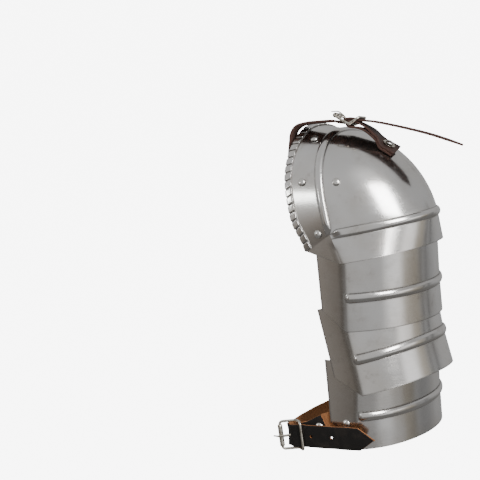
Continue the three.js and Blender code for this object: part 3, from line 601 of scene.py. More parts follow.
def rivet_tree() -> GeometryTree:
    """Tree of one rivet: domed head, shank and flat inner head, standing at the origin along Z."""
    kit = GeometryTree("rivet")
    tree = kit.tree
    names = ("Head", "Rise", "Shank", "Layers", "Inner head", "Inner rise")
    head, rise, shank, layers, inner_head, inner_rise = (kit.input(name, "Float") for name in names)
    seat, turn = (kit.input(name, "Vector") for name in ("Seat", "Turn"))
    material = kit.input("Material", "Material")

    def pressed(x: NodeSocket, y: NodeSocket, z: NodeSocket) -> NodeSocket:
        """Return the place of a ball's point with the lower half pressed nearly flat."""
        return tree.combine(x, y, tree.math("MAXIMUM", z, tree.math("MULTIPLY", z, PRESSED_SHARE)))

    def dome(radius: NodeSocket, height: NodeSocket, base: NodeSocket) -> NodeSocket:
        """Return a dome of a radius and height that stands on a base."""
        size, lift = tree.combine(radius, radius, height), tree.combine(z=base)
        return tree.moved(tree.ball(HEAD_RINGS, pressed), Translation=lift, Scale=size)

    outer = dome(head, tree.math("MULTIPLY", rise, DOME_SHARE), tree.math("MULTIPLY", rise, 1 - DOME_SHARE))
    low = tree.math("SUBTRACT", tree.math("MULTIPLY", layers, -1.0), inner_rise)
    inner = dome(inner_head, inner_rise, low)
    drop = tree.combine(z=tree.math("MULTIPLY", layers, -0.5))
    stem = tree.moved(tree.rod(SHANK_SIDES, shank, layers), Translation=drop)
    joined = tree.add("GeometryNodeJoinGeometry")
    for part in (outer, inner, stem):
        tree.links.new(part, joined.inputs[0])
    kit.close(tree.moved(joined.outputs[0], Translation=seat, Rotation=turn), material)
    return kit


def tab_tree() -> GeometryTree:
    """Tree of the turned-over tabs: one rounded tab on each point, along the edge and up from the plate."""
    kit = GeometryTree("edge_tabs")
    tree = kit.tree
    length, width, rise, slant = (kit.input(name, "Float") for name in ("Length", "Width", "Rise", "Slant"))
    material = kit.input("Material", "Material")

    def boxed(x: NodeSocket, y: NodeSocket, z: NodeSocket) -> NodeSocket:
        """Return the place of a ball's point drawn out to a rounded, slanted tab."""
        ahead, across, up = (tree.power(value, power) for value, power in zip((x, y, z), TAB_POWERS))
        slide = tree.math("MULTIPLY", across, slant)
        along = tree.math("ADD", tree.math("MULTIPLY", ahead, length), slide)
        up = tree.math("MULTIPLY", up, rise)
        return tree.combine(along, tree.math("MULTIPLY", across, width), up)

    sockets = {"Rotation": tree.upright(), "Vector": tree.direction("ahead")}
    turn = tree.add("FunctionNodeAlignRotationToVector", sockets, axis="X", pivot_axis="Z").outputs[0]
    tab = tree.ball(TAB_RINGS, boxed)
    sockets = {"Points": kit.inputs.outputs["Geometry"], "Instance": tab, "Rotation": turn}
    kit.close(tree.add("GeometryNodeInstanceOnPoints", sockets).outputs[0], material)
    return kit


def punch_tree() -> GeometryTree:
    """Tree that punches a round hole through a strap at each point of another mesh."""
    kit = GeometryTree("punched_holes")
    tree = kit.tree
    marks = kit.input("Marks", "Object")
    radius, depth = (kit.input(name, "Float") for name in ("Radius", "Depth"))
    material = kit.input("Material", "Material")
    points = tree.add("GeometryNodeObjectInfo", {"Object": marks}).outputs["Geometry"]
    tool = tree.rod(HOLE_SIDES, radius, depth)
    sockets = {"Points": points, "Instance": tool, "Rotation": tree.upright()}
    tools = tree.add("GeometryNodeInstanceOnPoints", sockets).outputs[0]
    sockets = {"Mesh 1": kit.inputs.outputs["Geometry"],
               "Mesh 2": tree.add("GeometryNodeRealizeInstances", {0: tools}).outputs[0]}
    kit.close(tree.add("GeometryNodeMeshBoolean", sockets, operation="DIFFERENCE").outputs[0], material)
    return kit


def marker(name: str, places: list[Array], ups: list[Array], aheads: list[Array]) -> Object:
    """Make a mesh of bare points that carry directions.

    Args:
        name: Name of the object.
        places: Points in working millimetres.
        ups: Direction that each copy stands along.
        aheads: Direction that each copy looks along.

    Returns:
        The linked object of points.
    """
    mesh = bpy.data.meshes.new(name)
    mesh.from_pydata([tuple((place + SHIFT) * MM) for place in places], [], [])
    for key, values in (("up", ups), ("ahead", aheads)):
        attribute = mesh.attributes.new(key, "FLOAT_VECTOR", "POINT")
        attribute.data.foreach_set("vector", np.concatenate(values))
    return link(name, mesh)


@dataclass
class Workshop:
    """Finishes by material slot, and the trees that make rivets, tabs and holes."""

    finishes: dict[Slot, Material]
    rivets: GeometryTree = field(default_factory=rivet_tree)
    tabs: GeometryTree = field(default_factory=tab_tree)
    punch: GeometryTree = field(default_factory=punch_tree)

    def hand_over(self, piece: Object, node: str, slot: Slot) -> None:
        """Dress a finished piece and tie it to the frame.

        Args:
            piece: Finished object.
            node: CAD node that it stands for.
            slot: Material slot of the record, which names the finish.
        """
        piece.data.materials.clear()
        piece.data.materials.append(self.finishes[slot])
        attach(piece, BODY)
        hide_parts(node)
        log.info("%s: %d faces", piece.name, len(piece.data.polygons))


@dataclass
class Rivet:
    """One turned rivet at a seat."""

    node: str
    seat: Array
    out: Array
    layers: float
    head: float = 4.3
    rise: float = 2.6
    head_gap: float = 0.45
    shank: float = 1.6
    inner_head: float = 3.2
    inner_rise: float = 1.2

    def build(self, shop: Workshop) -> None:
        """Make the rivet and tie it to its node.

        Args:
            shop: Finishes and trees.
        """
        piece = link(self.node + "_dome", bpy.data.meshes.new(self.node))
        under = self.seat + self.out * self.head_gap
        turn = Vector(self.out).to_track_quat("Z", "Y").to_euler()
        shop.rivets.run(
            piece, Head=self.head * MM, Rise=self.rise * MM, Shank=self.shank * MM,
            Layers=(self.layers + self.head_gap) * MM, Inner_head=self.inner_head * MM,
            Inner_rise=self.inner_rise * MM, Seat=tuple((under + SHIFT) * MM), Turn=tuple(turn),
            Material=shop.finishes[Slot.RIVET_STEEL],
        )
        polish(piece, 35.0)
        shop.hand_over(piece, self.node, Slot.RIVET_STEEL)


@dataclass
class Cop:
    """The domed shoulder plate with its two beads, neck-side band and flared rim."""

    half: float = 82.0
    rim_half: float = 84.0
    corner: tuple = (8.0, 1.3)
    rim_angle: float = math.radians(14.5)
    arch_angle: float = math.radians(112.5)
    rim_cut: float = 0.39
    arch_cut: float = 0.0
    rim_round: float = 1.8
    arch_round: float = 2.2
    bead_width: float = 9.5
    bead_height: float = 2.8
    edge_reach: float = 122.0
    edge_round: float = 2.15
    edge_drop: float = 9.3
    band_top: float = 32.0
    band_side: float = 41.0
    band_foot: float = 34.0
    flare_corner: tuple = (24.0, -27.6)
    flare_reach: float = 84.8
    flare_slope: float = 0.262
    roll_width: float = 8.0
    roll_height: float = 2.2
    roll_pitch: float = 9.0
    slit_width: float = 1.9
    slit_share: float = 0.88
    slit_slant: float = 2.0
    fade_length: float = 14.0
    columns: int = 226
    dome_rows: int = 74
    wall_rows: int = 24
    bead_rows: int = 9
    facet_rows: int = 26
    fold_reach: float = 9.0
    foot_limit: float = 0.3
    end_spread: float = math.pi / 2 * 0.86
    dome_beside: tuple = (0.004, 0.008, 0.992, 0.996)
    wall_beside: tuple = (0.02, 0.045, 0.96, 0.98)
    normal_hold: float = 0.97
    edge_hold: float = 0.985
    # Width and strength of the painted shade lines at bead feet and free edges
    seam_width: float = 0.55
    painted_line_dark: float = 0.85
    # Painted shade on the ends of the turned edge
    cap_painted_dark: float = 0.3
    ridge_step: float = 1.5
    band_widens: tuple = (0.16, 0.67)
    band_narrows: float = 0.85
    band_seats: tuple = (("top", 0.264, 0.4), ("middle", 0.653, 0.505), ("low", 0.968, 0.39))
    rivet_lift: float = 0.15
    tab_lift: float = 0.2
    tab_fullness: float = 0.5
    slit_overlap: float = 0.75
    face_angle: float = math.radians(93.5)
    face_share: float = 0.6175

    def profile_reach(self, angle: Array) -> Array:
        """Distance from the corner to the profile circle in the direction of an angle above +X."""
        offset_x, offset_z = self.corner[0] - PROFILE_X, self.corner[1] - PROFILE_Z
        along = offset_x * np.cos(angle) + offset_z * np.sin(angle)
        return np.sqrt(along**2 - (offset_x**2 + offset_z**2 - PROFILE_RADIUS**2)) - along

    def arch_point(self, angle: Array, share: Array) -> Array:
        """Point of the dome.

        Args:
            angle: Angle of the arch above +X, seen along Y.
            share: Place along the arch, -1 at the front corner and 1 at the back.

        Returns:
            Points in working millimetres.
        """
        angle, share = np.broadcast_arrays(np.asarray(angle, float), np.asarray(share, float))
        part = np.clip((angle - self.rim_angle) / (self.arch_angle - self.rim_angle), 0.0, 1.0)
        power = 2 / mix(self.rim_round, self.arch_round, part)
        end = np.arccos(mix(self.rim_cut, self.arch_cut, part))
        turn = share * end
        low = np.abs(np.cos(end)) ** power
        height = (np.abs(np.cos(turn)) ** power - low) / (1 - low)
        distance = self.profile_reach(angle) * np.maximum(0.0, height)
        y = self.half * signed_power(np.sin(turn), power) / np.sin(end) ** power
        x, z = self.corner[0] + distance * np.cos(angle), self.corner[1] + distance * np.sin(angle)
        return np.stack([x, y, z], -1)

    def radius(self, angle: Array, share: Array) -> Array:
        """Distance of the dome's point from the line between the two corners."""
        point = self.arch_point(angle, share)
        return np.hypot(point[..., 0] - self.corner[0], point[..., 2] - self.corner[1])

    def normal(self, angle: Array, share: Array) -> Array:
        """Outward direction of the dome."""
        step = 0.002
        held = np.sign(share) * np.minimum(np.abs(share), self.normal_hold)
        along = self.arch_point(angle, held + step) - self.arch_point(angle, held - step)
        across = self.arch_point(angle + step, held) - self.arch_point(angle - step, held)
        return unit(np.cross(along, across))

    def edge_point(self, share: Array) -> Array:
        """Point of the band's free edge.

        Args:
            share: Place along the arch, -1 at the front corner and 1 at the back.

        Returns:
            Points in working millimetres.
        """
        size = np.abs(share)
        power = 2 / self.edge_round
        turn = size * math.pi / 2
        up = self.edge_reach * np.abs(np.cos(turn)) ** power - self.edge_drop * size**8
        wide = mix(self.band_top, self.band_side, smooth(*self.band_widens, size))
        inset = wide - (self.band_side - self.band_foot) * smooth(self.band_narrows, 1.0, size)
        cos, sin = math.cos(self.arch_angle), math.sin(self.arch_angle)
        y = self.rim_half * np.sign(share) * np.sin(turn) ** power
        x, z = self.corner[0] + up * cos - inset * sin, self.corner[1] + up * sin + inset * cos
        return np.stack([x, y, z], -1)

    def flare_point(self, share: Array) -> Array:
        """Point of the flared rim's lower edge."""
        arc = crease_arc(share, self.flare_corner[0], self.flare_reach, self.rim_half)
        z = self.flare_corner[1] + self.flare_slope * (arc[..., 0] - self.flare_corner[0])
        return np.stack([arc[..., 0], arc[..., 1], z], -1)

    def foot_turn(self, centre: float, shares: Array) -> Array:
        """Angle between a bead's crest and its foot."""
        radius = np.maximum(self.radius(centre, shares), 1e-6)
        return np.minimum(self.bead_width / 2 / radius, self.foot_limit * (self.arch_angle - self.rim_angle))

    def bead_lift(self, centre: float, station: float, shares: Array) -> Array:
        """How a bead stands out at a station, 0 on its crest and 1 at its foot, fading at the corners."""
        rise = self.bead_height * math.sqrt(max(0.0, 1 - min(station, 1.0) ** 2))
        fade = smooth(0.0, self.fade_length, self.radius(centre, shares))
        return self.normal(centre, shares) * (rise * fade)[:, None]

    def bead_row(self, centre: float, side: int, station: float, shares: Array) -> Array:
        """Row of a bead on the dome's side of its centre line.

        Args:
            centre: Angle of the bead.
            side: 1 towards larger angles, -1 towards smaller ones.
            station: 0 on the crest, 1 at the foot.
            shares: Places along the arch.

        Returns:
            One row of points.
        """
        place = self.arch_point(centre + side * station * self.foot_turn(centre, shares), shares)
        return place + self.bead_lift(centre, station, shares)

    def ruled_row(self, centre: float, edge: Callable[..., Array], distance: float, shares: Array) -> Array:
        """Row of the wall from a bead's crest to a free edge.

        Args:
            centre: Angle of the bead.
            edge: Function that gives the free edge.
            distance: 0 on the crest, 1 at the bead's foot, 2 at the edge.
            shares: Places along the arch.

        Returns:
            One row of points.
        """
        start = self.arch_point(centre, shares)
        end = edge(shares)
        near = self.bead_width / 2 / np.linalg.norm(end - start, axis=-1)
        share = near * distance if distance <= 1 else mix(near, 1.0, distance - 1)
        return mix(start, end, share[:, None]) + self.bead_lift(centre, distance, shares)

    def sheet(self) -> Skin:
        """Build the outer surface."""
        skin = Skin()
        shares = np.sin(np.linspace(-1, 1, self.columns) * self.end_spread) / math.sin(self.end_spread)
        stations = np.sin(np.linspace(0, 1, self.bead_rows) * math.pi / 2)
        high = self.arch_angle - self.foot_turn(self.arch_angle, shares)
        low = self.rim_angle + self.foot_turn(self.rim_angle, shares)
        steps = fine_steps(self.dome_rows, self.dome_beside)[1:-1]
        rows = [self.bead_row(self.arch_angle, -1, s, shares) for s in stations]
        rows += [self.arch_point(mix(high, low, t), shares) for t in steps]
        rows += [self.bead_row(self.rim_angle, 1, s, shares) for s in stations[::-1]]
        points = np.stack(rows)
        # Painted shade: dark lines at the beads' feet, along the flare's lower edge and along the facets'
        # lower edges
        skin.patch(points, self.foot_shade(points, self.bead_rows - 1, len(rows) - self.bead_rows), True)
        levels = np.array([*stations, *(1 + fine_steps(self.wall_rows, self.wall_beside)[1:])])
        loose = smooth(1.0, 1.5, levels)[:, None]
        band = np.stack([self.ruled_row(self.arch_angle, self.edge_point, d, shares) for d in levels])
        corner = np.stack([self.ruled_row(self.rim_angle, self.flare_point, d, shares) for d in levels])
        ends = np.minimum(*(np.linalg.norm(corner - corner[:, end, None], axis=-1) for end in (0, -1)))
        depth = eased(ends, self.fold_reach, BOW) * loose
        flare = corner - np.sign(shares)[None, :, None] * vec(0, 1, 0) * depth[..., None]
        skin.patch(band, self.foot_shade(band, self.bead_rows - 1))
        skin.patch(flare, self.foot_shade(flare, self.bead_rows - 1, len(flare) - 1), True)
        across = np.sin(np.linspace(0, 1, self.facet_rows) * math.pi / 2)[None, :, None]
        for end in (0, self.columns - 1):
            facet = mix(band[:, end, None, :], corner[:, end, None, :], across)
            length = np.linalg.norm(facet - facet[:, -1:], axis=-1)
            depth = eased(length, self.fold_reach, BOW) * loose
            facet = facet + vec(0, 1 if end == 0 else -1, 0) * depth[..., None]
            skin.patch(facet, self.foot_shade(facet, len(facet) - 1), end == 0)
        return skin

    def foot_shade(self, points: Array, *feet: int) -> Array:
        """Paint shade as dark lines along rows of a grid, by distance in millimetres."""
        shade = np.zeros(points.shape[:2])
        for foot in feet:
            distance = np.linalg.norm(points - points[foot][None], axis=-1)
            shade = np.maximum(shade, line_mark(distance, self.seam_width) * self.painted_line_dark)
        return shade

    def roll_frames(self, shares: Array) -> tuple[Array, ...]:
        """Edge points with their inward, along and up directions."""
        edge = self.edge_point(shares)
        held = np.sign(shares) * np.minimum(np.abs(shares), self.edge_hold)
        inward = unit(self.arch_point(self.arch_angle, shares) - edge)
        along = unit(self.edge_point(held + 0.01) - self.edge_point(held - 0.01))
        up = unit(np.cross(inward, along))
        return edge, inward, along, up

    def even_shares(self, step: float, shift: float = 0.0) -> Array:
        """Shares at an even spacing along the edge, about one step apart."""
        fine = np.linspace(-1, 1, CURVE_SAMPLES + 1)
        length = way_marks(self.edge_point(fine))
        count = round(length[-1] / step)
        marks = (np.arange(count + (0 if shift else 1)) + shift) * length[-1] / count
        return np.interp(marks, length, fine)

    def roll(self) -> Skin:
        """Build the turned edge below the tabs: a firm ridge at its foot and a low turn round the edge."""
        skin = Skin()
        edge, inward, _, up = self.roll_frames(self.even_shares(self.ridge_step))
        wide, high = self.roll_width, self.roll_height
        # Each row: across, height and painted shade; the turned edge is painted dark where it shows in the
        # slits between the tabs, least on the ridge's top
        section = [
            (wide + 0.25, -PLATE / 2, 1.0), (wide, 0.15, 1.0), (wide - 0.3, 0.26 * high, 1.0),
            (wide - 0.8, 0.4 * high, 0.7), (wide - 1.2, 0.44 * high, 0.25), (wide - 1.6, 0.44 * high, 0.4),
            (wide - 1.9, 0.38 * high, 0.9), (wide * 0.45, 0.36 * high, 1.0), (0.0, 0.32 * high, 1.0),
            (-0.8, 0.1 * high, 1.0), (-PLATE, -0.25 * high, 0.9), (-PLATE, -PLATE * 1.2, 0.5),
            (-PLATE * 0.6, -PLATE * 1.6, 0.3), (PLATE * 1.2, -PLATE * 1.6, 0.3),
            (wide * 0.5, -PLATE * 1.1, 0.3), (wide + 0.25, -PLATE / 2, 1.0),
        ]
        rows = np.stack([edge + inward * across + up * height for across, height, _ in section])
        skin.patch(rows, np.array([mark for _, _, mark in section])[:, None], True)
        for end in (0, -1):
            skin.cap(rows[:, end], rows[:-1, end].mean(0), end == 0, self.cap_painted_dark)
        return skin

    def tabs(self, shop: Workshop) -> Object:
        """Make the turned-over tabs between the slits.

        Args:
            shop: Finishes and trees.

        Returns:
            All tabs as one object.
        """
        shares = self.even_shares(self.roll_pitch, 0.5)
        edge, inward, along, up = self.roll_frames(shares)
        reach = self.roll_width * self.slit_share + PLATE
        middle = edge + inward * (reach / 2 - PLATE) + up * (self.roll_height * self.tab_lift)
        piece = marker("shoulder_cop_tabs", list(middle), list(up), list(-along))
        length = (self.roll_pitch - self.slit_width * self.slit_overlap) / 2
        shop.tabs.run(
            piece, Length=length * MM, Width=reach / 2 * MM,
            Rise=self.roll_height * self.tab_fullness * MM, Slant=-self.slit_slant / 2 * MM,
            Material=shop.finishes[Slot.PLATE_STEEL],
        )
        return piece

    def build(self, shop: Workshop) -> None:
        """Make the plate with its turned edge and tie it to its node.

        Args:
            shop: Finishes and trees.
        """
        plate = walled(self.sheet(), "shoulder_cop")
        ridge = self.roll().object("shoulder_cop_roll")
        polish(ridge, 50.0)
        tabs = self.tabs(shop)
        polish(tabs, 60.0)
        for piece in (ridge, tabs):
            piece.data.materials.clear()
        join(plate, ridge, tabs)
        shop.hand_over(plate, "shoulder_cop", Slot.PLATE_STEEL)

    def band_rivets(self) -> list[Rivet]:
        """Rivets of the neck-side band on both ends."""
        rivets = []
        for side in Side:
            for name, share, start in self.band_seats:
                along = side.value * share

                def band(at: float, out: float) -> Array:
                    """Point on the band."""
                    return mix(self.arch_point(self.arch_angle, at), self.edge_point(np.asarray(at)), out)

                ahead = band(along + 0.01, start) - band(along - 0.01, start)
                out = unit(np.cross(ahead, band(along, 0.6) - band(along, 0.3)))
                node = f"{side.name.lower()}_band_rivet_{name}"
                seat = band(along, start) + out * self.rivet_lift
                rivets.append(Rivet(node, seat, out, PLATE + GAP + 2 * self.rivet_lift))
        return rivets

    def face_seat(self, side: Side) -> Key:
        """Seat and outward direction of the rivet that holds the inner leather."""
        where = (self.face_angle, side.value * self.face_share)
        return self.arch_point(*where), self.normal(*where)


def join(target: Object, *others: Object) -> None:
    """Join the meshes of other objects into the target and remove the others."""
    with edited(target.data) as work:
        for other in others:
            work.from_mesh(other.data)
    for other in others:
        bpy.data.objects.remove(other)


def crease_arc(share: Array, crease: Number, reach: Number, half: Number) -> Array:
    """Arc cut off at a crease on either end, as points in x and y.

    Args:
        share: -1 at the front crease, 0 outermost, 1 at the back crease.
        crease: x of the creases.
        reach: x of the outermost point.
        half: Half depth at the creases.

    Returns:
        The points, x and y along the last axis.
    """
    centre = (crease - math.sin(BOW) * reach) / (1 - math.sin(BOW))
    turn = np.asarray(share, float) * (math.pi / 2 - BOW)
    return np.stack([centre + (reach - centre) * np.cos(turn), half / math.cos(BOW) * np.sin(turn)], -1)


@dataclass
class Section:
    """Level section of a lame: height, fold, free edge, outermost point and half depth."""

    z: float
    crease: float
    inner: float
    reach: float
    half: float

    def values(self) -> Array:
        """Return the sizes as one array."""
        return np.array([self.z, self.crease, self.inner, self.reach, self.half])


@dataclass
class Lame:
    """One arm plate: a bowed wall with a bead, folded at the creases into flat front and back panels."""

    node: str
    slope: float
    top: Section
    bead: Section
    low: Section
    bead_width: float = 10.0
    bead_height: float = 2.8
    bead_start: float = 5.5
    pinch_depth: float = 0.08
    fold_reach: float = 7.0
    crown: float = 0.4
    panel_cut: float = math.radians(40)
    hang_height: float = 0.12
    hang_across: float = -0.4
    arc_columns: int = 64
    panel_columns: int = 10
    panel_split: float = -0.3
    panel_end: float = -0.03
    arc_split: float = 0.1
    near_columns: tuple = (10, 15)
    bead_rows: int = 19
    plain_rows: tuple = (22, 12)
    foot_beside: tuple = (1.12, 1.25)
    plain_from: float = 1.5
    rim_beside: tuple = (1.94, 1.96, 1.975, 1.985, 2.0)
    bead_fullness: float = 0.6
    pinch_width: float = 1.6
    # Widths and strengths of painted shade: lines at the bead's feet, at its starts by the crease and along
    # the free edges
    seam_width: float = 0.6
    painted_line_dark: float = 0.8
    mark_width: float = 1.4
    mark_shade: float = 0.5
    rim_width: float = 0.8
    rim_painted_dark: float = 0.85

    def section(self, height: Array) -> tuple[Array, ...]:
        """Sizes at a height: 0 top edge, 1 bead line, 2 lower edge."""
        height = np.asarray(height, float)[..., None]
        upper = mix(self.top.values(), self.bead.values(), height)
        lower = mix(self.bead.values(), self.low.values(), height - 1)
        return tuple(np.moveaxis(np.where(height <= 1, upper, lower), -1, 0))

    def point(self, height: Array, across: Array, side: Array) -> Array:
        """Point of the outer surface.

        Args:
            height: 0 top edge, 1 bead line, 2 lower edge.
            across: -1 at the panel's free edge, 0 at the crease, 1 outermost.
            side: -1 on the front half, 1 on the back half.

        Returns:
            Points in working millimetres.
        """
        height, across, side = np.broadcast_arrays(*(np.asarray(v, float) for v in (height, across, side)))
        z, crease, inner, reach, half = self.section(height)
        arc = crease_arc(across - 1, crease, reach, half)
        x = np.where(across < 0, mix(crease, inner, -across), arc[..., 0])
        y = np.where(across < 0, -half, arc[..., 1])
        return np.stack([x, -side * y, z + self.slope * (x - crease)], -1)

    def normal(self, height: Array, across: Array, side: Array) -> Array:
        """Outward direction of the outer surface."""
        step = 0.01
        down = self.point(height + step, across, side) - self.point(height - step, across, side)
        out = self.point(height, across + step, side) - self.point(height, across - step, side)
        turn = np.cross(out, down) * -np.asarray(side, float)[..., None]
        return -unit(turn)

    def bead_reach(self) -> tuple[float, float]:
        """Half the bead's width as heights above and below the bead line."""
        half = self.bead_width / 2
        return half / (self.top.z - self.bead.z), half / (self.bead.z - self.low.z)

    def heights(self) -> tuple[Array, Array]:
        """Heights of the rows and how far each stands on the bead, 0 to 1."""
        above, below = self.bead_reach()
        half = np.sin(np.linspace(-1, 1, self.bead_rows) * math.pi / 2)
        bead = np.where(half < 0, 1 + half * above, 1 + half * below)
        flat = [1 + side * far for far in self.foot_beside for side in (-above, below)]
        flat += [*np.linspace(0, 1 - above * self.plain_from, self.plain_rows[0]), *self.rim_beside[1:]]
        flat += [*np.linspace(1 + below * self.plain_from, self.rim_beside[0], self.plain_rows[1])]
        heights = np.concatenate([flat, bead])
        rises = np.concatenate([np.zeros(len(flat)), np.sqrt(np.maximum(0, 1 - half**2))])
        order = np.argsort(heights)
        return heights[order], rises[order]

    def columns(self) -> tuple[Array, Array]:
        """Places across the plate from the front panel's edge to the back panel's, and their sides."""
        front = np.concatenate([
            np.linspace(-1, self.panel_split, self.panel_columns, endpoint=False),
            np.linspace(self.panel_split, self.panel_end, self.near_columns[0]),
            np.linspace(0, self.arc_split, self.near_columns[1], endpoint=False),
            np.linspace(self.arc_split, 1, self.arc_columns)])
        across = np.concatenate([front, front[-2::-1]])
        return across[None, :], np.where(np.arange(len(across)) < len(front), -1.0, 1.0)[None, :]

    def sheet(self) -> Skin:
        """Build the outer surface."""
        across, side = self.columns()
        heights, rises = self.heights()
        level, rise = heights[:, None], rises[:, None]
        above, below = self.bead_reach()
        skirt = self.bead.z - self.low.z
        panel = self.low.crease - self.low.inner
        share = np.clip((level - 1 - below) / (1 - below), 0.0, 1.0)
        cut = np.where(across < 0, math.tan(self.panel_cut) * panel / skirt * across * share, 0.0)
        base = self.point(level + cut, across, side)
        crease = self.point(level + cut, 0.0, side)
        away = np.linalg.norm(base - crease, axis=-1) * np.where(across < 0, -1.0, 1.0)
        start = np.maximum(0.0, self.bead_start - away) / (self.bead_width / 2)
        lift = self.bead_height * np.maximum(0.0, rise**2 - start**2) ** self.bead_fullness
        pinch = self.pinch_depth * rise * line_mark(away, self.pinch_width)
        lift = lift - eased(away, self.fold_reach, BOW) - pinch
        lift = lift + self.crown * np.where(across < 0, 1 - (2 * across + 1) ** 2, 0.0)
        out = self.normal(level + 0 * across, np.maximum(across, 0.02) + 0 * level, side + 0 * level)
        # Painted shade: dark lines at the bead's feet, at its starts by the crease and along the free edges
        upper_foot = np.abs(level - (1 - above)) * (self.top.z - self.bead.z)
        feet = np.minimum(upper_foot, np.abs(level - (1 + below)) * skirt)
        seam = line_mark(feet, self.seam_width) * self.painted_line_dark * smooth(0.02, 0.06, across)
        mark = rise * line_mark(away - self.seam_width, self.mark_width) * self.mark_shade
        rim = line_mark(np.minimum((2 - level) * skirt, (1 + across) * panel + 0 * level), self.rim_width)
        shade = np.maximum(np.maximum(seam, mark), rim * self.rim_painted_dark)
        skin = Skin()
        skin.patch(base + out * lift[..., None], shade, True)
        return skin

    def build(self, shop: Workshop) -> None:
        """Make the plate and tie it to its node."""
        shop.hand_over(walled(self.sheet(), self.node), self.node, Slot.PLATE_STEEL)

    def hang_seat(self, side: Side) -> Key:
        """Seat and outward direction of the rivet that hangs the plate on its leather."""
        where = (self.hang_height, self.hang_across, float(side.value))
        return self.point(*where), self.normal(*(np.asarray(v) for v in where))

    def panel_seat(self, x: float, z: float, side: Side) -> Key:
        """Seat and outward direction at a place on the flat panel below the bead."""
        height = 1 + (z - self.slope * (x - self.bead.crease) - self.bead.z) / (self.low.z - self.bead.z)
        _, crease, inner, _, _ = self.section(np.asarray(height))
        across = (x - crease) / (crease - inner)
        place = self.point(height, across, side.value)
        return place, self.normal(np.asarray(height), np.asarray(-0.3), np.asarray(side.value))


@dataclass
class Basis:
    """A frame with its origin and three directions."""

    at: Array
    ahead: Array
    out: Array

    @property
    def across(self) -> Array:
        """Direction across the strap."""
        return np.cross(self.out, self.ahead)

    def place(self, x: Number, y: Number, z: Number) -> Array:
        """Point of the frame in working millimetres."""
        x, y, z = (np.asarray(v, float)[..., None] for v in (x, y, z))
        return self.at + self.ahead * x + self.across * y + self.out * z

    def turn(self, x: float, y: float, z: float) -> Array:
        """Direction of the frame, of length one."""
        return unit(self.ahead * x + self.across * y + self.out * z)


def spline(points: Array, count: int) -> Array:
    """Centripetal Catmull-Rom curve.

    Args:
        points: Keys that the curve goes through.
        count: Number of places from the first key to the last.

    Returns:
        The places, evenly spread in the curve's own parameter.
    """
    held = np.concatenate([2 * points[:1] - points[1:2], points, 2 * points[-1:] - points[-2:-1]])
    t = np.linspace(0, len(points) - 1, count)
    i = np.minimum(t.astype(int), len(points) - 2)
    w = (t - i)[:, None]
    p0, p1, p2, p3 = (held[i + n] for n in range(4))
    d0, d1, d2 = (np.linalg.norm(step, axis=1, keepdims=True) ** 0.5 for step in (p1 - p0, p2 - p1, p3 - p2))
    t1 = ((p1 - p0) / d0 - (p2 - p0) / (d0 + d1) + (p2 - p1) / d1) * d1
    t2 = ((p2 - p1) / d1 - (p3 - p1) / (d1 + d2) + (p3 - p2) / d2) * d1
    return p1 + t1 * w + (-3 * p1 + 3 * p2 - 2 * t1 - t2) * w**2 + (2 * p1 - 2 * p2 + t1 + t2) * w**3


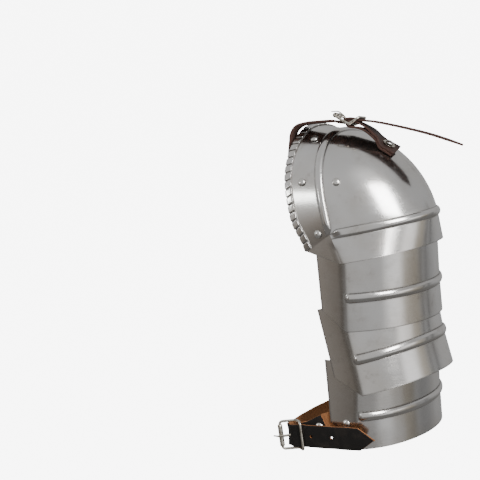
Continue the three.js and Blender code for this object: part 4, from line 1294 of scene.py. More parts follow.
@dataclass
class Strap:
    """A leather strap along keys of place and grain direction."""

    node: str
    keys: list[Key]
    width: float = 25.0
    thickness: float = LEATHER
    tip: float = 0.0
    step: float = 1.1
    hole_radius: float = 1.7
    round_off: float = 0.7
    corner_steps: int = 4
    face_steps: int = 8
    face_turn: float = 0.6
    round_limits: tuple = (0.5, 0.45)
    rough_samples: int = 40
    narrowest: float = 0.05
    wave_height: float = 0.14
    wave_turn: float = 0.21
    hole_depth: float = 2.4 * LEATHER
    places: Array = field(init=False)
    ahead: Array = field(init=False)
    across: Array = field(init=False)
    out: Array = field(init=False)

    def __post_init__(self) -> None:
        """Work out the frames along the strap."""
        points = np.array([at for at, _ in self.keys])
        facing = np.array([out for _, out in self.keys])
        length = way_marks(spline(points, self.rough_samples * len(points)))[-1]
        fine = spline(points, CURVE_SAMPLES)
        marks = way_marks(fine)
        even = np.linspace(0, marks[-1], int(length / self.step) + 2)
        share = np.interp(even, marks, np.linspace(0, len(points) - 1, CURVE_SAMPLES))
        self.places = np.stack([np.interp(even, marks, fine[:, n]) for n in range(3)], -1)
        self.ahead = unit(np.gradient(self.places, axis=0))
        k = np.minimum(share.astype(int), len(points) - 2)
        look = mix(facing[k], facing[k + 1], (share - k)[:, None])
        self.across = unit(np.cross(look, self.ahead))
        self.out = unit(np.cross(self.ahead, self.across))

    def half_widths(self) -> Array:
        """Half width at each frame, cut to a point over the tip."""
        half = np.full(len(self.places), self.width / 2)
        if self.tip:
            left = np.linalg.norm(self.places - self.places[-1], axis=1)
            half *= np.clip(left / self.tip, self.narrowest, 1.0)
        return half

    def ring(self) -> tuple[Array, Array, Array]:
        """Section of the strap: place across and out as shares, with marks of its grain and flesh faces."""
        turn = np.linspace(0, math.pi / 2, self.corner_steps)
        face = np.linspace(-1, 1, self.face_steps + 1)[1:-1]
        outline = []
        for quarter, (side, level) in enumerate(((1, 1), (-1, 1), (-1, -1), (1, -1))):
            for angle in turn if side * level > 0 else turn[::-1]:
                marked = level * (angle > self.face_turn)
                outline.append((side, math.cos(angle) - 1, level, math.sin(angle) - 1, marked))
            if quarter == 0:
                outline += [(-f, 0, 1, 0, 1) for f in face]
            if quarter == 2:
                outline += [(f, 0, -1, 0, -1) for f in face]
        values = np.array(outline, float)
        return values[:, :4], (values[:, 4] > 0).astype(float), (values[:, 4] < 0).astype(float)

    def object(self) -> Object:
        """Build the closed band with its face attributes."""
        shape, grain, flesh = self.ring()
        half = self.half_widths()[:, None]
        corner = np.minimum(self.round_off, half * self.round_limits[0])
        side, cut, level, drop = (shape[:, n][None, :] for n in range(4))
        wave = self.wave_height * np.sin(np.arange(len(half)) * self.step * self.wave_turn)[:, None]
        across = side * half + np.sign(side) * (np.abs(side) > 0.999) * cut * corner
        low_corner = np.minimum(corner, self.thickness * self.round_limits[1])
        rise = level * self.thickness / 2 + np.sign(level) * drop * low_corner
        points = (self.places[:, None] + self.across[:, None] * (across + wave * side)[..., None]
                  + self.out[:, None] * rise[..., None])
        skin = Skin()
        loop = np.concatenate([points, points[:, :1]], 1)
        skin.patch(loop)
        for end in (0, -1):
            skin.cap(loop[end], points[end].mean(0), end == -1)
        piece = skin.object(self.node + "_hide", 0.004)
        outward(piece)
        self.mark_faces(piece)
        return piece

    def mark_faces(self, piece: Object) -> None:
        """Write which faces are grain and which are flesh, by the nearest frame of the strap.

        Args:
            piece: The closed strap, before its holes.
        """
        mesh = piece.data
        centres, normals = (np.empty(len(mesh.polygons) * 3) for _ in range(2))
        mesh.polygons.foreach_get("center", centres)
        mesh.polygons.foreach_get("normal", normals)
        centres = centres.reshape(-1, 3) / MM - SHIFT
        near = ((centres[:, None] - self.places[None]) ** 2).sum(-1).argmin(1)
        facing = (normals.reshape(-1, 3) * self.out[near]).sum(-1)
        for name, values in (("grain", facing > 0.5), ("flesh", facing < -0.5)):
            attribute = mesh.attributes.new(name, "FLOAT", "FACE")
            attribute.data.foreach_set("value", values.astype(np.float32))

    def further_on(self, mark: Array, length: float) -> Key:
        """Place and outward direction a length further on than the place nearest to a mark."""
        near = int(np.linalg.norm(self.places - mark, axis=1).argmin())
        step = way_marks(self.places)[-1] / (len(self.places) - 1)
        at = min(near + round(length / step), len(self.places) - 1)
        return self.places[at], self.out[at]

    def holes(self, pierced: Key, pitch: float, count: int) -> list[Key]:
        """Hole for the tongue and more beyond it, a pitch apart."""
        return [pierced, *[self.further_on(pierced[0], n * pitch) for n in range(1, count)]]

    def build(self, shop: Workshop, slot: Slot, holes: list[Key] | None = None) -> None:
        """Make the strap with its holes and tie it to its node.

        Args:
            shop: Finishes and trees.
            slot: Material slot of the record.
            holes: Places and directions of the holes.
        """
        piece = self.object()
        if holes:
            marks = marker(self.node + "_marks", *zip(*[(at, out, out) for at, out in holes]))
            shop.punch.run(piece, Marks=marks, Radius=self.hole_radius * MM, Depth=self.hole_depth * MM,
                           Material=shop.finishes[slot])
            bpy.data.objects.remove(marks)
        polish(piece, 42.0)
        shop.hand_over(piece, self.node, slot)


def outward(piece: Object) -> None:
    """Make a closed mesh's faces point outwards."""
    with edited(piece.data) as work:
        bmesh.ops.recalc_face_normals(work, faces=work.faces)
        if work.calc_volume(signed=True) < 0:
            bmesh.ops.reverse_faces(work, faces=work.faces)


def tube(path: Array, up: Array, radius: Number, closed: bool, sides: int = 16) -> Skin:
    """Round wire along a path.

    Args:
        path: Points in working millimetres.
        up: Direction that is never along the path.
        radius: One radius, or one for each point as two columns for side and top.
        closed: Joins the last point to the first.
        sides: Faces round the wire.

    Returns:
        The wire's skin.
    """
    before = np.roll(path, 1, 0) if closed else np.concatenate([path[:1], path[:-1]])
    after = np.roll(path, -1, 0) if closed else np.concatenate([path[1:], path[-1:]])
    ahead = unit(after - before)
    side = unit(np.cross(up, ahead))
    top = np.cross(ahead, side)
    sizes = np.broadcast_to(radius, (len(path), 2))
    turn = np.linspace(0, 2 * math.pi, sides + 1)
    rings = (path[:, None] + side[:, None] * (sizes[:, :1] * np.cos(turn))[..., None]
             + top[:, None] * (sizes[:, 1:] * np.sin(turn))[..., None])
    skin = Skin()
    if closed:
        rings = np.concatenate([rings, rings[:1]])
    skin.patch(rings)
    for end in () if closed else (0, -1):
        skin.cap(rings[end], path[end], end == -1)
    return skin


@dataclass
class Buckle:
    """Centre-bar buckle of bent wire with a roller and a tongue.

    Its frame has x along the strap towards the free end, y across it and z away from the wearer.
    """

    name: str
    basis: Basis
    wire: float = 1.5
    width: float = 31.0
    roller_radius: float = 2.7
    roller_bar: float = -16.5
    roller_rise: float = 8.5
    keeper_bar: float = 10.5
    keeper_rise: float = 7.5
    corner: float = 3.0
    bend: float = 1.15
    tongue_reach: float = 7.5
    tongue_width: float = 3.0
    tongue_thick: float = 1.8
    tongue_taper: float = 0.42
    tongue_drop: float = 0.5
    pierced: tuple = (-5.6, 4.8)
    tongue_arm: tuple = (0.55, 0.65)
    eye_turn: tuple = (170, 460)
    fold_turns: tuple = (-90, -135, -180, -225, -270)
    fold_play: float = 0.1
    bar_over: float = 0.2
    bar_swell: tuple = (0.92, 0.14)
    tube_lip: tuple = (0.2, 0.35, 0.45)
    tube_seam: tuple = (2.2, 0.09)
    threads: tuple = ((-9, 1), (-5.2, 4.5), (0.3, 5.95), (5, 5.55), (10.5, 4.45))

    @property
    def crest(self) -> float:
        """Height of the tongue's middle over the roller."""
        return self.roller_rise + self.roller_radius + 2 * GAP + self.tongue_thick / 2

    def level(self, x: Array) -> Array:
        """Height of the bent frame over the centre bar."""
        x = np.asarray(x, float)
        roller = self.roller_rise * np.abs(np.minimum(x, 0) / self.roller_bar) ** self.bend
        keeper = self.keeper_rise * np.abs(np.maximum(x, 0) / self.keeper_bar) ** self.bend
        return roller + keeper

    def loop(self) -> Array:
        """Path of the outer frame in the buckle's own x and y."""
        half = self.width / 2
        corners = [(self.keeper_bar, half, 0), (self.roller_bar, half, 90),
                   (self.roller_bar, -half, 180), (self.keeper_bar, -half, 270)]
        path = []
        for x, y, start in corners:
            for angle in np.radians(start + np.linspace(0, 90, 9)):
                path.append((x - math.copysign(self.corner, x) + self.corner * math.cos(angle),
                             y - math.copysign(self.corner, y) + self.corner * math.sin(angle)))
        path = np.array([*path, path[0]])
        dense = [mix(a, b, t) for a, b in zip(path[:-1], path[1:])
                 for t in np.arange(0, 1, 1 / max(1, round(float(np.linalg.norm(b - a)))))]
        return np.array(dense)

    def frame_skin(self) -> Skin:
        """Build the bent loop."""
        flat = self.loop()
        path = self.basis.place(flat[:, 0], flat[:, 1], self.level(flat[:, 0]))
        return tube(path, self.basis.out, self.wire, True)

    def bar_skin(self) -> Skin:
        """Build the centre bar with its swaged ends."""
        half = self.width / 2
        inner = half - 3 * self.bar_over
        y = np.array([-half - self.bar_over, *np.linspace(-inner, inner, 24), half + self.bar_over])
        slim, swell = self.bar_swell
        radius = self.wire * (slim + swell * smooth(half - 4, half - 1, np.abs(y)))
        return tube(self.basis.place(0, y, 0), self.basis.out, radius[:, None], False)

    def roller_skin(self) -> Skin:
        """Build the rolled tube that turns on the front bar."""
        half = self.width / 2 - self.corner - 0.5
        bore = self.wire + GAP
        face = self.roller_radius
        lip, wall, edge = self.tube_lip
        end = [(bore, half - lip), (bore + lip, half), (face - wall, half), (face, half - edge)]
        outline = [(radius, -y) for radius, y in end]
        outline += [(face, y) for y in np.linspace(-half + 2, half - 2, 10)]
        outline += [*end[::-1], outline[0]]
        turn = np.linspace(0, 2 * math.pi, 41)
        place, depth = self.tube_seam
        seam = 1 - depth * line_mark(turn - place, depth)
        x, z = seam * np.cos(turn), seam * np.sin(turn)
        rows = [self.basis.place(self.roller_bar + radius * x, y, self.roller_rise + radius * z)
                for radius, y in outline]
        skin = Skin()
        skin.patch(np.stack(rows))
        return skin

    def tongue_path(self) -> Array:
        """Path of the tongue in the buckle's own x and z."""
        eye_radius = self.wire + GAP + self.tongue_thick / 2
        turns = np.radians(np.linspace(*self.eye_turn, 25))
        eye = [(eye_radius * math.cos(turn), eye_radius * math.sin(turn)) for turn in turns]
        x, z = self.pierced
        along, up = self.tongue_arm
        arm = [(x, z, 0), (mix(x, self.roller_bar, along), mix(z, self.crest, up), 0),
               (self.roller_bar, self.crest, 0),
               (self.roller_bar - self.tongue_reach, self.crest - self.tongue_drop, 0)]
        return np.array([*eye, *spline(np.array([(*eye[-1], 0), *arm], float), 28)[1:, :2]])

    def tongue_skin(self) -> Skin:
        """Build the bent tongue, tapered to its tip."""
        flat = self.tongue_path()
        taper = 1 - self.tongue_taper * smooth(0.72, 1.0, np.linspace(0, 1, len(flat)))
        sizes = taper[:, None] * vec(self.tongue_thick, self.tongue_width) / 2
        return tube(self.basis.place(flat[:, 0], 0, flat[:, 1]), self.basis.across, sizes, False, 14)

    def build(self, shop: Workshop) -> None:
        """Make frame, roller and tongue and tie them to their nodes.

        Args:
            shop: Finishes and trees.
        """
        loop = self.frame_skin().object(self.name + "_buckle_loop")
        bar = self.bar_skin().object(self.name + "_buckle_bar")
        for piece in (loop, bar):
            outward(piece)
        join(loop, bar)
        polish(loop, 55.0)
        shop.hand_over(loop, self.name + "_buckle_frame", Slot.BUCKLE_METAL)
        for kind, skin in (("roller", self.roller_skin()), ("tongue", self.tongue_skin())):
            piece = skin.object(f"{self.name}_buckle_{kind}_part")
            outward(piece)
            polish(piece, 50.0)
            shop.hand_over(piece, f"{self.name}_buckle_{kind}", Slot.BUCKLE_METAL)

    def threaded(self, offset: float) -> list[Key]:
        """Keys of the long strap over the centre bar and under the keeper bar."""
        return [(self.basis.place(x, offset, z), self.basis.out) for x, z in self.threads]

    def folded(self) -> list[Key]:
        """Keys of the short strap round the centre bar."""
        radius = self.wire + GAP + LEATHER / 2 + self.fold_play
        keys = []
        for angle in np.radians(self.fold_turns):
            x, z = math.cos(angle), math.sin(angle)
            keys.append((self.basis.place(radius * x, 0, radius * z), self.basis.turn(x, 0, z)))
        return keys

    def pierce(self, offset: float) -> Key:
        """Place and direction of the hole that the tongue goes through."""
        x, z = self.pierced
        return self.basis.place(x, offset, z), self.basis.turn(self.roller_bar - x, 0, self.crest - z)


def under(seat: Key, flip: bool = False) -> Key:
    """Key of leather below a plate's seat, with the grain side out or turned in."""
    place, out = seat
    return place - out * UNDER_PLATE, -out if flip else out


@dataclass
class Hanger:
    """Inner leather that carries the lames on one side."""

    side: Side
    cop: Cop
    lames: list[Lame]
    width: float = 16.0
    sink: float = 1.5
    flat: float = 6.0
    leans: tuple = (0.0, 0.1, 0.35)
    top_reach: tuple = (-9.0, 6.0)
    head: float = 3.2
    rise: float = 1.2

    def build(self, shop: Workshop) -> None:
        """Make the leather and its rivets.

        Args:
            shop: Finishes and trees.
        """
        name = self.side.name.lower()
        face = self.cop.face_seat(self.side)
        Rivet(f"{name}_face_rivet", face[0], face[1], THROUGH + self.sink).build(shop)
        seats = [lame.hang_seat(self.side) for lame in self.lames]
        for lame, (place, out) in zip(self.lames, seats):
            Rivet(f"{name}_{lame.node}_rivet", place, out, THROUGH, self.head, self.rise).build(shop)
        top = (face[0] - face[1] * (UNDER_PLATE + self.sink), face[1])
        keys = [self.slid(top, self.top_reach[0]), top, self.slid(top, self.top_reach[1])]
        for seat, lean in zip(map(under, seats), self.leans):
            keys += [self.slid(seat, -self.flat, lean), seat, self.slid(seat, self.flat, lean)]
        Strap(f"{name}_leather", keys, width=self.width).build(shop, Slot.DARK_LEATHER)

    @staticmethod
    def slid(key: Key, length: float, tilt: float = 0.0) -> Key:
        """Move a key down along its own face."""
        place, out = key
        down = unit(vec(tilt, 0, -1) + out * (out[2] - tilt * out[0]))
        return place + down * length, out


@dataclass
class ArmStrap:
    """Strap round the arm with its buckle, fastened at the front."""

    lame: Lame
    bar: tuple = (-28.0, -84.65, -226.6)
    slope: float = math.radians(10)
    offset: float = -0.3
    rivet_x: float = 32.0
    rivet_z: float = -202.4
    root_x: float = 43.0
    root_way: tuple = ((43.0, 1.5), (20.0, -3.0))
    lift_span: tuple = (-24.0, 20.0)
    tail_y: float = -89.6
    hole_pitch: float = 27.0
    lift: float = 13.6
    way: tuple = (
        (4, 75.2, -212.5, 0.1, 1), (-28, 54, -222, -0.7, 0.7), (-45, 14, -229, -1, 0.1),
        (-50, -25, -232, -1, -0.05), (-48, -58, -232.5, -1, -0.1), (-43.5, -78, -231.5, -0.8, -0.6),
    )
    tail_x: tuple = (-8, 20, 45, 60, 72.6)
    fold_first: tuple = ((17, -76.9), (11, -77.2), (5.5, -78.9), (0, -80.2), (-6, -81.1), (-14, -81.6))
    fold_second: tuple = ((-20.5, -86), (-14, -85.3), (-6, -84.2), (0, -83.1), (7, -81.8))
    fold_lean: float = 0.19
    fold_rise: float = 2.5
    fold_slack: float = 1.0

    def buckle(self) -> Buckle:
        """Buckle of the strap."""
        ahead = vec(math.cos(self.slope), 0, math.sin(self.slope))
        return Buckle("arm", Basis(vec(*self.bar), ahead, vec(0, -1, 0)))

    def build(self, shop: Workshop) -> None:
        """Make both straps, the buckle and their rivets.

        Args:
            shop: Finishes and trees.
        """
        buckle = self.buckle()
        buckle.build(shop)
        back = self.lame.panel_seat(self.rivet_x, self.rivet_z, Side.BACK)
        front = self.lame.panel_seat(self.rivet_x, self.rivet_z, Side.FRONT)
        Rivet("arm_strap_rivet", *back, THROUGH).build(shop)
        Rivet("arm_buckle_strap_rivet", *front, THROUGH).build(shop)
        strap = self.long_strap(buckle, back)
        strap.build(shop, Slot.DARK_LEATHER, strap.holes(buckle.pierce(self.offset), self.hole_pitch, 3))
        self.short_strap(buckle, front).build(shop, Slot.DARK_LEATHER)
        self.fold_rivet().build(shop)

    def long_strap(self, buckle: Buckle, back: Key) -> Strap:
        """Strap from the back panel round the arm and through the buckle."""
        start = buckle.basis.place(0, self.offset, 0)[2]
        root, inner = (self.lame.panel_seat(x, self.rivet_z + rise, Side.BACK) for x, rise in self.root_way)
        keys = [under(root), under(back), under(inner)]
        keys += [(vec(x, y, z), unit(vec(out_x, out_y, 0))) for x, y, z, out_x, out_y in self.way]
        keys += buckle.threaded(self.offset)
        keys += [(vec(x, self.tail_y, start + math.tan(self.slope) * (x - self.bar[0])), vec(0, -1, 0))
                 for x in self.tail_x]
        return Strap("arm_strap", keys, tip=TIP)

    def fold_height(self, x: float) -> float:
        """Height of the short strap's middle line."""
        lift = self.lift * float(smooth(*self.lift_span, x))
        return self.bar[2] + math.tan(self.slope) * (x - self.bar[0]) + lift

    def short_strap(self, buckle: Buckle, front: Key) -> Strap:
        """Strap from the front panel, turned round the centre bar and riveted to itself."""
        root = self.lame.panel_seat(self.root_x, self.fold_height(self.root_x), Side.FRONT)
        keys = [under(root, True), under(front, True)]
        keys += [(vec(x, y, self.fold_height(x)), vec(0, 1, 0)) for x, y in self.fold_first]
        keys += buckle.folded()
        keys += [(vec(x, y, self.fold_height(x)), vec(0, -1, 0)) for x, y in self.fold_second]
        return Strap("arm_buckle_strap", keys)

    def fold_rivet(self) -> Rivet:
        """Rivet through both layers of the short strap."""
        first, second = (dict(way)[0] for way in (self.fold_first, self.fold_second))
        out = unit(vec(self.fold_lean, -1, 0))
        middle = vec(0, second, self.fold_height(0.0) + self.fold_rise)
        seat = middle + out * (LEATHER / 2 + self.fold_slack / 4)
        return Rivet("arm_fold_rivet", seat, out, first - second + LEATHER + self.fold_slack)


@dataclass
class ShoulderStrap:
    """Strap over the shoulder with its buckle, fastened above the dome."""

    tab_x: float = 25.0
    turn: float = math.radians(18)
    bank_angle: float = math.radians(9)
    bar: tuple = (-38.3, 108.3)
    way: tuple = (
        (-105.6, 72, 1), (-104.4, 88, 1), (-103.4, 95.5, 0.9), (-97.5, 103.4, 0.45), (-85.3, 107.3, 0.12),
        (-70.9, 109.3, 0.06), (-57.5, 110.6, 0.05),
    )
    tail: tuple = ((-14.9, 112.2), (14.1, 108), (46.5, 101.7), (67.1, 96.2), (81.9, 91.8))
    tab_lower: tuple = ((-9.5, 93.6, 0.9), (-16.5, 98.9, 0.6), (-24, 102.9, 0.25), (-32, 104.8, 0.05))
    tab_upper: tuple = ((-31, 110.4, 0.1), (-24, 107.7, 0.35), (-16, 102.8, 0.75), (-9, 96.9, 0.8))
    tab_end: float = 9.0
    tab_back: float = -4.0
    tab_rise: tuple = (1.03, 1.0, 1.2)
    hole_pitch: float = 27.0
    root_hole: float = 9.0
    washer_thick: float = 1.0
    washer_section: tuple = (
        (2.1, -0.9, 0), (2.1, -0.1, 0), (2.6, 0, 0), (3.4, 0, 0), (4.2, 0, 0.3), (5.0, 0, 1), (5.8, 0, 1),
        (6.5, 0, 0.3), (7.0, -0.35, 0), (7.0, -0.75, 0), (6.4, -1.0, 0), (2.1, -0.9, 0),
    )
    dot_height: float = 0.16
    dot_count: int = 16

    @property
    def ahead(self) -> Array:
        """Level direction along the strap, away from the neck."""
        return vec(math.cos(self.turn), math.sin(self.turn), 0)

    @property
    def bank(self) -> Array:
        """Direction that the banked grain side faces."""
        across = vec(-math.sin(self.turn), math.cos(self.turn), 0)
        return across * math.sin(self.bank_angle) + vec(0, 0, math.cos(self.bank_angle))

    def on_line(self, along: float, z: float) -> Array:
        """Place over the strap's line."""
        return vec(self.tab_x, 0, z) + self.ahead * along

    def buckle(self) -> Buckle:
        """Buckle of the strap."""
        return Buckle("shoulder", Basis(self.on_line(*self.bar), self.ahead, self.bank))

    def dome_top(self, x: float) -> Array:
        """Place on the dome's ridge."""
        return vec(x, 0, PROFILE_Z + math.sqrt(PROFILE_RADIUS**2 - (x - PROFILE_X) ** 2))

    def dome_out(self, x: float) -> Array:
        """Outward direction on the dome's ridge."""
        return unit(self.dome_top(x) - vec(PROFILE_X, 0, PROFILE_Z))

    def build(self, shop: Workshop) -> None:
        """Make both straps, the buckle, the washer and the rivet.

        Args:
            shop: Finishes and trees.
        """
        buckle = self.buckle()
        buckle.build(shop)
        strap = self.long_strap(buckle)
        holes = strap.holes(buckle.pierce(0.0), self.hole_pitch, 4)
        holes.insert(1, strap.further_on(strap.places[0], self.root_hole))
        strap.build(shop, Slot.BROWN_LEATHER, holes)
        self.tab(buckle).build(shop, Slot.BROWN_LEATHER)
        stack = 2 * (LEATHER + GAP)
        out = self.dome_out(self.tab_x)
        top = self.dome_top(self.tab_x) + out * (stack + 2 * GAP + self.washer_thick)
        Rivet("tab_rivet", top, out, PLATE + stack + 4 * GAP + self.washer_thick).build(shop)
        self.washer(shop, top, out)

    def long_strap(self, buckle: Buckle) -> Strap:
        """Strap from its root at the neck through the buckle to its tip."""
        keys = [(self.on_line(along, z), unit(self.bank * (1 - lean) - self.ahead * lean))
                for along, z, lean in self.way]
        keys += buckle.threaded(0.0)
        keys += [(self.on_line(along, z), self.bank) for along, z in self.tail]
        return Strap("shoulder_strap", keys, tip=TIP)

    def tab(self, buckle: Buckle) -> Strap:
        """Short strap riveted to the dome, doubled round the centre bar."""
        ends = (self.tab_back, 0, self.tab_end)
        keys = [self.tab_key(along, 0, -1) for along in (self.tab_end - 1, 0, self.tab_back)]
        keys += [self.tab_way(row, -1) for row in self.tab_lower]
        keys += buckle.folded()
        keys += [self.tab_way(row, 1) for row in self.tab_upper]
        keys += [self.tab_key(along, layer, 1) for along, layer in zip(ends, self.tab_rise)]
        return Strap("shoulder_buckle_strap", keys)

    def tab_key(self, along: float, layer: float, facing: int) -> Key:
        """Key of one layer of the tab on the dome."""
        x = self.tab_x + along * self.ahead[0]
        lift = GAP + LEATHER / 2 + layer * (LEATHER + GAP)
        place = self.dome_top(x) + vec(0, along * self.ahead[1], 0) + self.dome_out(x) * lift
        return place, self.dome_out(x) * facing

    def tab_way(self, row: tuple, facing: int) -> Key:
        """Key of the tab between the dome and the bar."""
        along, z, lean = row
        return self.on_line(along, z), unit(self.bank * (1 - lean) + self.ahead * lean) * facing

    def washer(self, shop: Workshop, top: Array, out: Array) -> None:
        """Make the washer with a ring of small raised dots.

        Args:
            shop: Finishes and trees.
            top: Middle of its upper face.
            out: Direction that the face looks in.
        """
        ahead = unit(np.cross(vec(0, 1, 0), out))
        radius, level, dotted = np.array(self.washer_section).T[:, :, None]
        turn = np.linspace(0, 2 * math.pi, 97)
        dots = self.dot_height * (np.maximum(0, np.cos(turn * self.dot_count)) ** 2 - 1)
        rise = level + dotted * dots
        skin = Skin()
        skin.patch(Basis(top, ahead, out).place(radius * np.cos(turn), radius * np.sin(turn), rise))
        piece = skin.object("tab_washer_disc")
        outward(piece)
        polish(piece)
        shop.hand_over(piece, "tab_washer", Slot.BUCKLE_METAL)


PLAIN = (1.0, 1.0, 1.0)
WARM = (1.0, 0.92, 0.78)
BROWN = (1.0, 0.9, 0.8)


@dataclass(frozen=True)
class Band:
    """Band of the room above a height in degrees: azimuth, brightness and tint of its walls."""

    start: tuple[float, float]
    walls: tuple[tuple[float, float, tuple], ...]


@dataclass
class Studio:
    """Pale floor, soft light all round and the camera of the photograph."""

    bands: tuple[Band, ...] = (
        Band((-24.0, -14.0), (
            (-178, 0.30, PLAIN), (-131, 0.34, BROWN), (-124, 0.25, BROWN), (-118, 0.15, BROWN),
            (-109, 0.12, BROWN), (-99, 0.30, PLAIN), (-20, 0.31, PLAIN), (2, 0.47, PLAIN),
            (18, 0.48, PLAIN), (25, 0.30, WARM), (38, 0.22, WARM), (42, 0.33, PLAIN), (48, 0.24, PLAIN),
            (60, 0.26, PLAIN), (80, 0.45, PLAIN), (178, 0.30, PLAIN))),
        Band((-11.0, -7.0), (
            (-178, 0.40, PLAIN), (-150, 0.44, PLAIN), (-131, 0.46, BROWN), (-124, 0.34, BROWN),
            (-116, 0.16, BROWN), (-101, 0.11, BROWN), (-91, 0.70, PLAIN), (-29, 0.66, PLAIN),
            (-16, 1.55, PLAIN), (-1, 1.55, PLAIN), (8, 0.60, WARM), (18, 0.46, WARM), (30, 0.46, WARM),
            (37, 0.36, PLAIN), (40, 0.06, PLAIN), (43, 0.40, PLAIN), (49, 0.36, PLAIN), (52, 0.06, PLAIN),
            (55, 0.38, PLAIN), (66, 0.52, PLAIN), (178, 0.45, PLAIN))),
        Band((-3.0, 5.0), (
            (-178, 0.60, PLAIN), (-150, 0.74, PLAIN), (-127, 0.80, PLAIN), (-119, 0.56, BROWN),
            (-108, 0.26, BROWN), (-98, 0.66, PLAIN), (-74, 0.74, PLAIN), (-48, 0.68, PLAIN),
            (-12, 0.60, PLAIN), (-3, 1.75, PLAIN), (13, 1.70, PLAIN), (22, 0.66, WARM), (31, 0.50, WARM),
            (37, 0.46, PLAIN), (40, 0.08, PLAIN), (43, 0.42, PLAIN), (50, 0.38, PLAIN), (53, 0.08, PLAIN),
            (56, 0.42, PLAIN), (64, 0.52, PLAIN), (178, 0.45, PLAIN))),
        Band((14.0, 24.0), (
            (-178, 0.72, PLAIN), (-125, 0.74, PLAIN), (-95, 0.76, PLAIN), (-55, 0.68, PLAIN),
            (5, 0.56, PLAIN), (30, 0.54, PLAIN), (90, 0.56, PLAIN), (178, 0.66, PLAIN))),
        Band((46.0, 62.0), (
            (-178, 0.64, PLAIN), (-80, 0.70, PLAIN), (-42, 1.15, PLAIN), (-12, 1.15, PLAIN),
            (16, 0.66, PLAIN), (178, 0.62, PLAIN))),
        Band((66.0, 82.0), (
            (-178, 0.66, PLAIN), (178, 0.66, PLAIN))),
    )
    eye: tuple = (0.809, -1.2455, 0.2193)
    look: tuple = (-0.5891, 0.7761, -0.2250)
    half_view: float = math.atan(240 / 1364)
    floor_z: float = -1.2
    floor_size: float = 160.0
    pale: tuple = (0.95, 0.95, 0.95)
    clouded: tuple = (0.931, 0.931, 0.931)
    glow: float = 7.0
    ground: tuple = (0.21, 0.205, 0.20)
    aim: tuple = (0.04, 0.0, -0.12)
    lamps: tuple = (
        ("window", (2.15, -0.87, 1.57), (0.95, 1.8), 88.0, (1.0, 1.0, 1.0)),
        ("side_window", (-1.57, -1.87, 0.52), (0.3, 0.34), 4.5, (0.96, 1.0, 1.0)),
    )

    def build(self) -> None:
        """Make everything of the studio."""
        self.floor()
        self.world()
        for lamp in self.lamps:
            self.light(*lamp)
        self.camera()

    def floor(self) -> None:
        """Make the floor, which rises far away into a pale shell all round."""
        mesh = bpy.data.meshes.new("floor")
        with edited(mesh) as work:
            bmesh.ops.create_uvsphere(work, u_segments=48, v_segments=24, radius=self.floor_size / 2)
            for vert in work.verts:
                vert.co.z = max(vert.co.z, self.floor_z)
            bmesh.ops.reverse_faces(work, faces=work.faces)
        piece = link("floor", mesh)
        material, tree, principled = shader("pale_floor")
        cloud = tree.noise(0.5, 2.0, 0.5, tree.place())
        tree.feed(principled.inputs["Base Color"], tree.blend(cloud, self.pale, self.clouded))
        principled.inputs["Roughness"].default_value = 0.9
        principled.inputs["Emission Color"].default_value = (1.0, 1.0, 1.0, 1.0)
        principled.inputs["Emission Strength"].default_value = self.glow
        mesh.materials.append(material)
        piece.visible_glossy = False
        piece.visible_diffuse = False
        piece.visible_shadow = False

    def world(self) -> None:
        """Light the room by direction, in bands from the ground to the ceiling."""
        world = bpy.data.worlds.new("room")
        bpy.context.scene.world = world
        world.use_nodes = True
        tree = Tree(world.node_tree.nodes, world.node_tree.links)
        way = tree.add("ShaderNodeSeparateXYZ", {0: tree.add("ShaderNodeTexCoord").outputs["Generated"]})
        azimuth = tree.math("ARCTAN2", way.outputs[1], way.outputs[0])
        share = tree.span(azimuth, -math.pi, math.pi, 0.0, 1.0)
        height = tree.math("MULTIPLY", tree.math("ARCSINE", way.outputs[2]), 180 / math.pi)
        colour = self.ground
        for band in self.bands:
            stops = [(0.5 + degrees / 360, tuple(level * part for part in tint))
                     for degrees, level, tint in band.walls]
            colour = tree.blend(tree.span(height, *band.start, 0.0, 1.0), colour, tree.ramp(share, stops))
        tree.feed(world.node_tree.nodes["Background"].inputs["Color"], colour)
        world.node_tree.nodes["Background"].inputs["Strength"].default_value = 1.0

    def light(self, name: str, place: tuple, size: tuple, power: float, colour: tuple) -> None:
        """Add one soft box that looks at the part.

        Args:
            name: Name of the light.
            place: Its place in metres.
            size: Width and height of the box.
            power: Watts.
            colour: Tint.
        """
        lamp = bpy.data.lights.new(name, "AREA")
        lamp.shape = "RECTANGLE"
        lamp.size, lamp.size_y = size
        lamp.energy = power
        lamp.color = colour
        box = bpy.data.objects.new(name, lamp)
        aim = Vector(self.aim) - Vector(place)
        box.matrix_world = Matrix.Translation(place) @ aim.to_track_quat("-Z", "Y").to_matrix().to_4x4()
        bpy.context.scene.collection.objects.link(box)

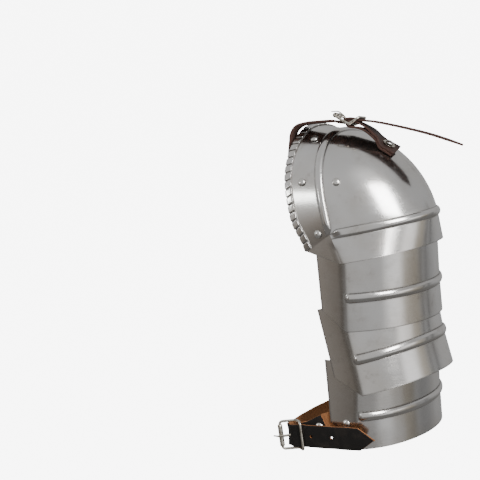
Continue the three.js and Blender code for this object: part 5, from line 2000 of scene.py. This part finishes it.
    def camera(self) -> None:
        """Stand the camera where the photograph was taken from."""
        lens = bpy.data.cameras.new("camera")
        lens.sensor_fit = "HORIZONTAL"
        lens.angle = 2 * self.half_view
        lens.clip_start = 0.05
        view = bpy.data.objects.new("camera", lens)
        turn = Vector(self.look).to_track_quat("-Z", "Y").to_matrix().to_4x4()
        view.matrix_world = Matrix.Translation(self.eye) @ turn
        bpy.context.scene.collection.objects.link(view)
        bpy.context.scene.camera = view


def arm_plates() -> list[Lame]:
    """The three arm plates from top to bottom."""
    return [
        Lame("upper_lame", 0.14, Section(-11, 21.2, -12.5, 77.9, 78.1), Section(-65, 27.2, -3.6, 82, 80.4),
             Section(-101, 30.3, 3, 86.7, 82)),
        Lame("middle_lame", 0.36, Section(-74, 17.5, -9.6, 75.5, 77.4), Section(-131, 39, 11, 88, 80),
             Section(-167, 52, 24, 100.4, 82)),
        Lame("lower_lame", 0.12, Section(-133, 43, 0.3, 77.5, 76.5), Section(-192, 46, 10, 82.8, 79.6),
             Section(-228, 48.7, 16, 86.9, 81.2)),
    ]


def main() -> None:
    """Build every piece in order."""
    logging.basicConfig(level=logging.INFO, format="%(name)s %(message)s")
    steel = SteelFinish("satin_steel").material()
    bright = HardwareFinish("rivet_steel", (0.72, 0.71, 0.69), (0.55, 0.53, 0.50), 0.16, 0.34).material()
    nickel = HardwareFinish("nickel", (0.66, 0.625, 0.55), (0.30, 0.27, 0.225), 0.15, 0.40).material()
    dark = LeatherFinish("dark_hide", (0.009, 0.0075, 0.007), (0.024, 0.018, 0.015), (0.27, 0.11, 0.042),
                         (0.32, 0.145, 0.06)).material()
    brown = LeatherFinish("brown_hide", (0.036, 0.0195, 0.016), (0.064, 0.033, 0.026), (0.056, 0.028, 0.022),
                          (0.095, 0.047, 0.035)).material()
    shop = Workshop({Slot.PLATE_STEEL: steel, Slot.RIVET_STEEL: bright, Slot.BUCKLE_METAL: nickel,
                     Slot.DARK_LEATHER: dark, Slot.BROWN_LEATHER: brown})
    cop = Cop()
    plates = arm_plates()
    hangers = [Hanger(side, cop, plates) for side in Side]
    for piece in (cop, *cop.band_rivets(), *plates, *hangers, ArmStrap(plates[-1]), ShoulderStrap()):
        piece.build(shop)
    Studio().build()


if __name__ == "__main__":
    main()
